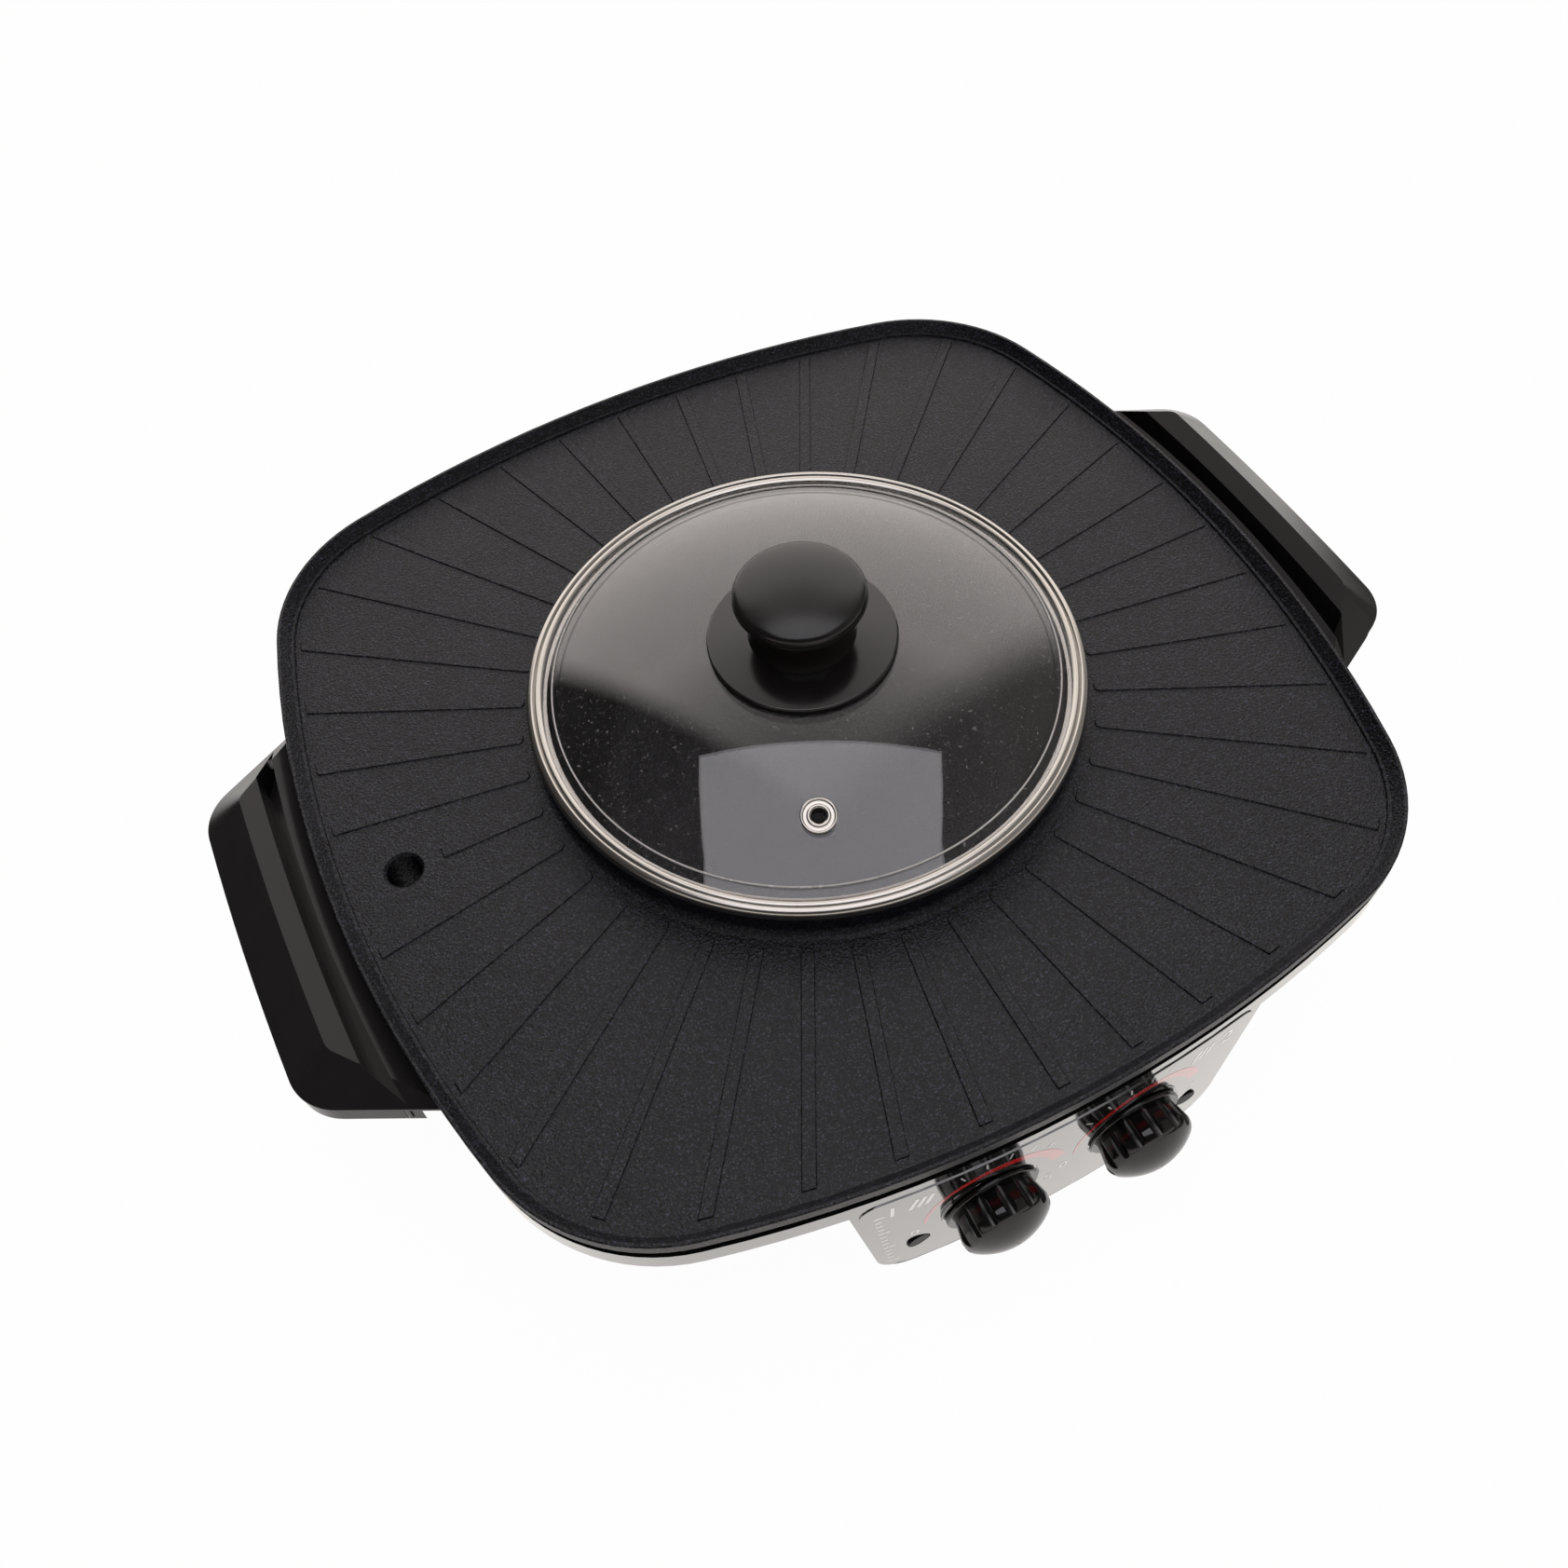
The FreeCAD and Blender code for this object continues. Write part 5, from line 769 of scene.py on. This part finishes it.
def addVentEyelet(glass):
    # steel tube rolled over the glass: a raised outer bead, a groove, a raised inner lip and the steam hole
    eyelet = {
        "x": -24.1 * mm, "y": -56.6 * mm, "hole": 2.3 * mm, "flange": 5.6 * mm, "thick": 0.9 * mm,
        "barrel": 3.3 * mm, "glassThick": 3.4 * mm, "sag": 0.1 * mm,
        "bead": 0.45 * mm,                                      # radius of the outer bead
        "grooveOut": 1.0 * mm, "grooveIn": 1.55 * mm,           # from the flange's edge
        "grooveUp": 0.25 * mm,                                  # from the glass
        "lip": 0.8 * mm, "lipOuter": 0.6 * mm,                  # the inner lip's two rounds
    }
    top = glass["apex"]
    under = top - eyelet["glassThick"] - eyelet["sag"]
    foot = under - eyelet["thick"]
    crown = top + eyelet["thick"]
    hole = eyelet["hole"]
    flange = eyelet["flange"]
    bead = eyelet["bead"]
    grooveTop = top + eyelet["grooveUp"]
    lipMiddle = hole + eyelet["lip"]
    section = [(hole, foot), (flange, foot), (flange, under)]
    section += [(eyelet["barrel"], under), (eyelet["barrel"], top), (flange, top)]
    section += turned((flange - bead, crown - bead), bead, 0, 180, count=8)
    section += [(flange - eyelet["grooveOut"], grooveTop), (flange - eyelet["grooveIn"], grooveTop)]
    section += turned((lipMiddle, crown - eyelet["lipOuter"]), eyelet["lipOuter"], 0, 90, count=5)
    section += turned((lipMiddle, crown - eyelet["lip"]), eyelet["lip"], 90, 180, count=6)
    piece = spunRing(section, "ventEyelet", steps=64)
    lean = math.asin(math.hypot(eyelet["x"], eyelet["y"]) / glass["bend"])
    centre = Matrix.Translation((0, 0, top - glass["bend"]))
    turn = Matrix.Rotation(lean, 4, Vector((-eyelet["y"], eyelet["x"], 0)))
    piece.data.transform(centre @ turn @ centre.inverted())
    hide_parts("vent_eyelet")
    finishSpun(piece, polishedSteel, sharpFrom=40)


glassShape = {"apex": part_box("lid_glass")[1].z, "bend": 211.31 * mm}       # radius of the dome's upper face
addLidRing()
# a pale bead that paints the reflection of the glass's ground edge
addEdgeReflectionBead(glassShape)
addLidKnob()
addVentEyelet(glassShape)
report("lid pieces")


# studio
studio = {
    "floorSize": 9.0,
    "floorShare": 0.975,        # share of plain white in the floor's look; the rest is its lit surface
    "warmth": "#fffbf7",        # what shiny faces see of the paper
    "farDark": 0.03,            # how dark it gets for them at the end of the two fades
    "leftFade": (-0.44, -0.26),     # along X, dark beyond the first value
    "rightFade": (0.03, 0.10),      # along Y, dark in front of the first value
    "rightStart": 0.215,            # the X from which the right fade holds
    "wall": 1.85,               # brightness of the lit white wall behind the object
    "wallTop": 0.5,             # what is left of it straight above
    "wallFade": 0.7,            # where it starts to fade, as a direction's Z
    "wallLeft": (0.94, 0.342, 0.0),     # square to the wall's left end, which lies 20 degrees left of +Y
    "wallRight": (-0.375, 0.927, 0.0),
    "leftSoft": (-0.06, 0.06),
    "rightSoft": (-0.12, 0.1),
    "rightEnd": 0.18,           # share of the wall's light that a side wall gives beyond its right end
    "front": 1.1,               # the pale room on the camera's side
    "frontTop": (0.15, 0.4),    # where it ends upwards, as a direction's Z
    "frontEdge": (-0.35, -0.1),     # and sideways, as its Y
    "dim": 0.07,                # the rest of the room
    "roomTint": "#fff8f4",
    "softboxPlace": (-0.066, -0.246, 1.75),
    "softboxSize": (1.5, 1.3),
    "softboxTurn": -26.4,
    "softboxPower": 12.4,
    "softboxTint": (0.97, 0.95, 1.0),
}
softFade = {"interpolation_type": "SMOOTHSTEP"}


def makeBackdropPaper():
    # matt white paper; camera, glass and metal see plain white with the object's shadow in it
    look = {"colours": ("#f6f6f6", "#f1f1f1"), "roughness": 0.9, "fibreMm": 3.0}
    material, tree, shader, place = newMaterial("whiteBackdropPaper")
    fibre = addNode(tree, "ShaderNodeTexNoise", {"Scale": perMetre(look["fibreMm"]), "Detail": 3.0},
                    {"Vector": place})
    first, second = look["colours"]
    paper = addNode(tree, "ShaderNodeMix",
                    {"data_type": "RGBA", 6: linearColour(first), 7: linearColour(second)}, {0: fibre})
    tree.links.new(paper.outputs[2], shader.inputs["Base Color"])
    shader.inputs["Roughness"].default_value = look["roughness"]
    path = addNode(tree, "ShaderNodeLightPath")
    cameraRay = path.outputs["Is Camera Ray"]
    seen = addNode(tree, "ShaderNodeMath", {"operation": "MAXIMUM"},
                   {0: cameraRay, 1: path.outputs["Is Glossy Ray"]})
    seen = addNode(tree, "ShaderNodeMath", {"operation": "MAXIMUM"},
                   {0: seen, 1: path.outputs["Is Transmission Ray"]})
    share = addNode(tree, "ShaderNodeMath", {"operation": "MULTIPLY", 1: studio["floorShare"]}, {0: seen})
    # shiny faces see the paper fade out on the left, and in front of the right handle
    spot = addNode(tree, "ShaderNodeSeparateXYZ", {}, {"Vector": place})
    fades = []
    for axis, reach in (("X", studio["leftFade"]), ("Y", studio["rightFade"])):
        settings = {**softFade, "From Min": reach[0], "From Max": reach[1], "To Min": studio["farDark"]}
        fades.append(addNode(tree, "ShaderNodeMapRange", settings, {"Value": spot.outputs[axis]}))
    inside = addNode(tree, "ShaderNodeMath", {"operation": "LESS_THAN", 1: studio["rightStart"]},
                     {0: spot.outputs["X"]})
    right = addNode(tree, "ShaderNodeMath", {"operation": "MAXIMUM"}, {0: fades[1], 1: inside})
    both = addNode(tree, "ShaderNodeMath", {"operation": "MULTIPLY"}, {0: fades[0], 1: right})
    strength = addNode(tree, "ShaderNodeMath", {"operation": "MAXIMUM"}, {0: cameraRay, 1: both})
    tint = addNode(tree, "ShaderNodeMix",
                   {"data_type": "RGBA", 6: linearColour(studio["warmth"]), 7: (1, 1, 1, 1)}, {0: cameraRay})
    white = addNode(tree, "ShaderNodeEmission", {}, {"Color": tint.outputs[2], "Strength": strength})
    mix = addNode(tree, "ShaderNodeMixShader", {}, {0: share, 1: shader, 2: white})
    tree.links.new(mix.outputs["Shader"], tree.nodes["Material Output"].inputs["Surface"])
    return material


def addFloor():
    deselectAll()
    bpy.ops.mesh.primitive_plane_add(size=studio["floorSize"], location=(0, 0, 0))
    floor = bpy.context.active_object
    floor.name = "floor"
    floor.data.materials.append(makeBackdropPaper())


def addSoftbox():
    # hangs over the front left of the object and faces straight down
    data = bpy.data.lights.new("overheadSoftbox", "AREA")
    data.shape = "RECTANGLE"
    data.size, data.size_y = studio["softboxSize"]
    data.energy = studio["softboxPower"]
    data.color = studio["softboxTint"]
    lamp = bpy.data.objects.new("overheadSoftbox", data)
    bpy.context.scene.collection.objects.link(lamp)
    place = Vector(studio["softboxPlace"])
    down = Vector((0, 0, -place.z)).to_track_quat("-Z", "Y").to_matrix().to_4x4()
    turn = Matrix.Rotation(math.radians(studio["softboxTurn"]), 4, "Z")
    lamp.matrix_world = Matrix.Translation(place) @ down @ turn


def addWorld():
    # a lit white wall behind the object and a pale front, in a dim room; the camera itself sees plain white
    world = bpy.data.worlds.new("studioRoom")
    bpy.context.scene.world = world
    world.use_nodes = True
    tree = world.node_tree
    tree.nodes.clear()
    direction = addNode(tree, "ShaderNodeTexCoord").outputs["Generated"]
    parts = addNode(tree, "ShaderNodeSeparateXYZ", {}, {"Vector": direction})
    ends = []
    for side, soft, beyond in (("wallLeft", "leftSoft", 0.0), ("wallRight", "rightSoft", studio["rightEnd"])):
        reach = addNode(tree, "ShaderNodeVectorMath", {"operation": "DOT_PRODUCT", 1: studio[side]},
                        {0: direction})
        settings = {**softFade, "From Min": studio[soft][0], "From Max": studio[soft][1], "To Min": beyond}
        ends.append(addNode(tree, "ShaderNodeMapRange", settings, {"Value": reach.outputs["Value"]}))
    fall = {"From Min": studio["wallFade"], "From Max": 1.0, "To Min": studio["wall"],
            "To Max": studio["wallTop"]}
    upward = addNode(tree, "ShaderNodeMapRange", fall, {"Value": parts.outputs["Z"]})
    wide = addNode(tree, "ShaderNodeMath", {"operation": "MULTIPLY"}, {0: ends[0], 1: ends[1]})
    wall = addNode(tree, "ShaderNodeMath", {"operation": "MULTIPLY"}, {0: upward, 1: wide})
    edges = []
    for axis, soft, most in (("Z", "frontTop", studio["front"]), ("Y", "frontEdge", 1.0)):
        settings = {**softFade, "From Min": studio[soft][0], "From Max": studio[soft][1],
                    "To Min": most, "To Max": 0.0}
        edges.append(addNode(tree, "ShaderNodeMapRange", settings, {"Value": parts.outputs[axis]}))
    front = addNode(tree, "ShaderNodeMath", {"operation": "MULTIPLY"}, {0: edges[0], 1: edges[1]})
    strength = addNode(tree, "ShaderNodeMath", {"operation": "MAXIMUM"}, {0: wall, 1: front})
    strength = addNode(tree, "ShaderNodeMath", {"operation": "MAXIMUM", 1: studio["dim"]}, {0: strength})
    path = addNode(tree, "ShaderNodeLightPath")
    room = addNode(tree, "ShaderNodeBackground", {"Color": linearColour(studio["roomTint"])},
                   {"Strength": strength})
    white = addNode(tree, "ShaderNodeBackground", {"Color": (1, 1, 1, 1), "Strength": 1.0})
    mix = addNode(tree, "ShaderNodeMixShader", {}, {0: path.outputs["Is Camera Ray"], 1: room, 2: white})
    addNode(tree, "ShaderNodeOutputWorld", {}, {"Surface": mix})


addFloor()
addSoftbox()
addWorld()
bpy.context.scene.view_settings.view_transform = "Standard"
report("studio")
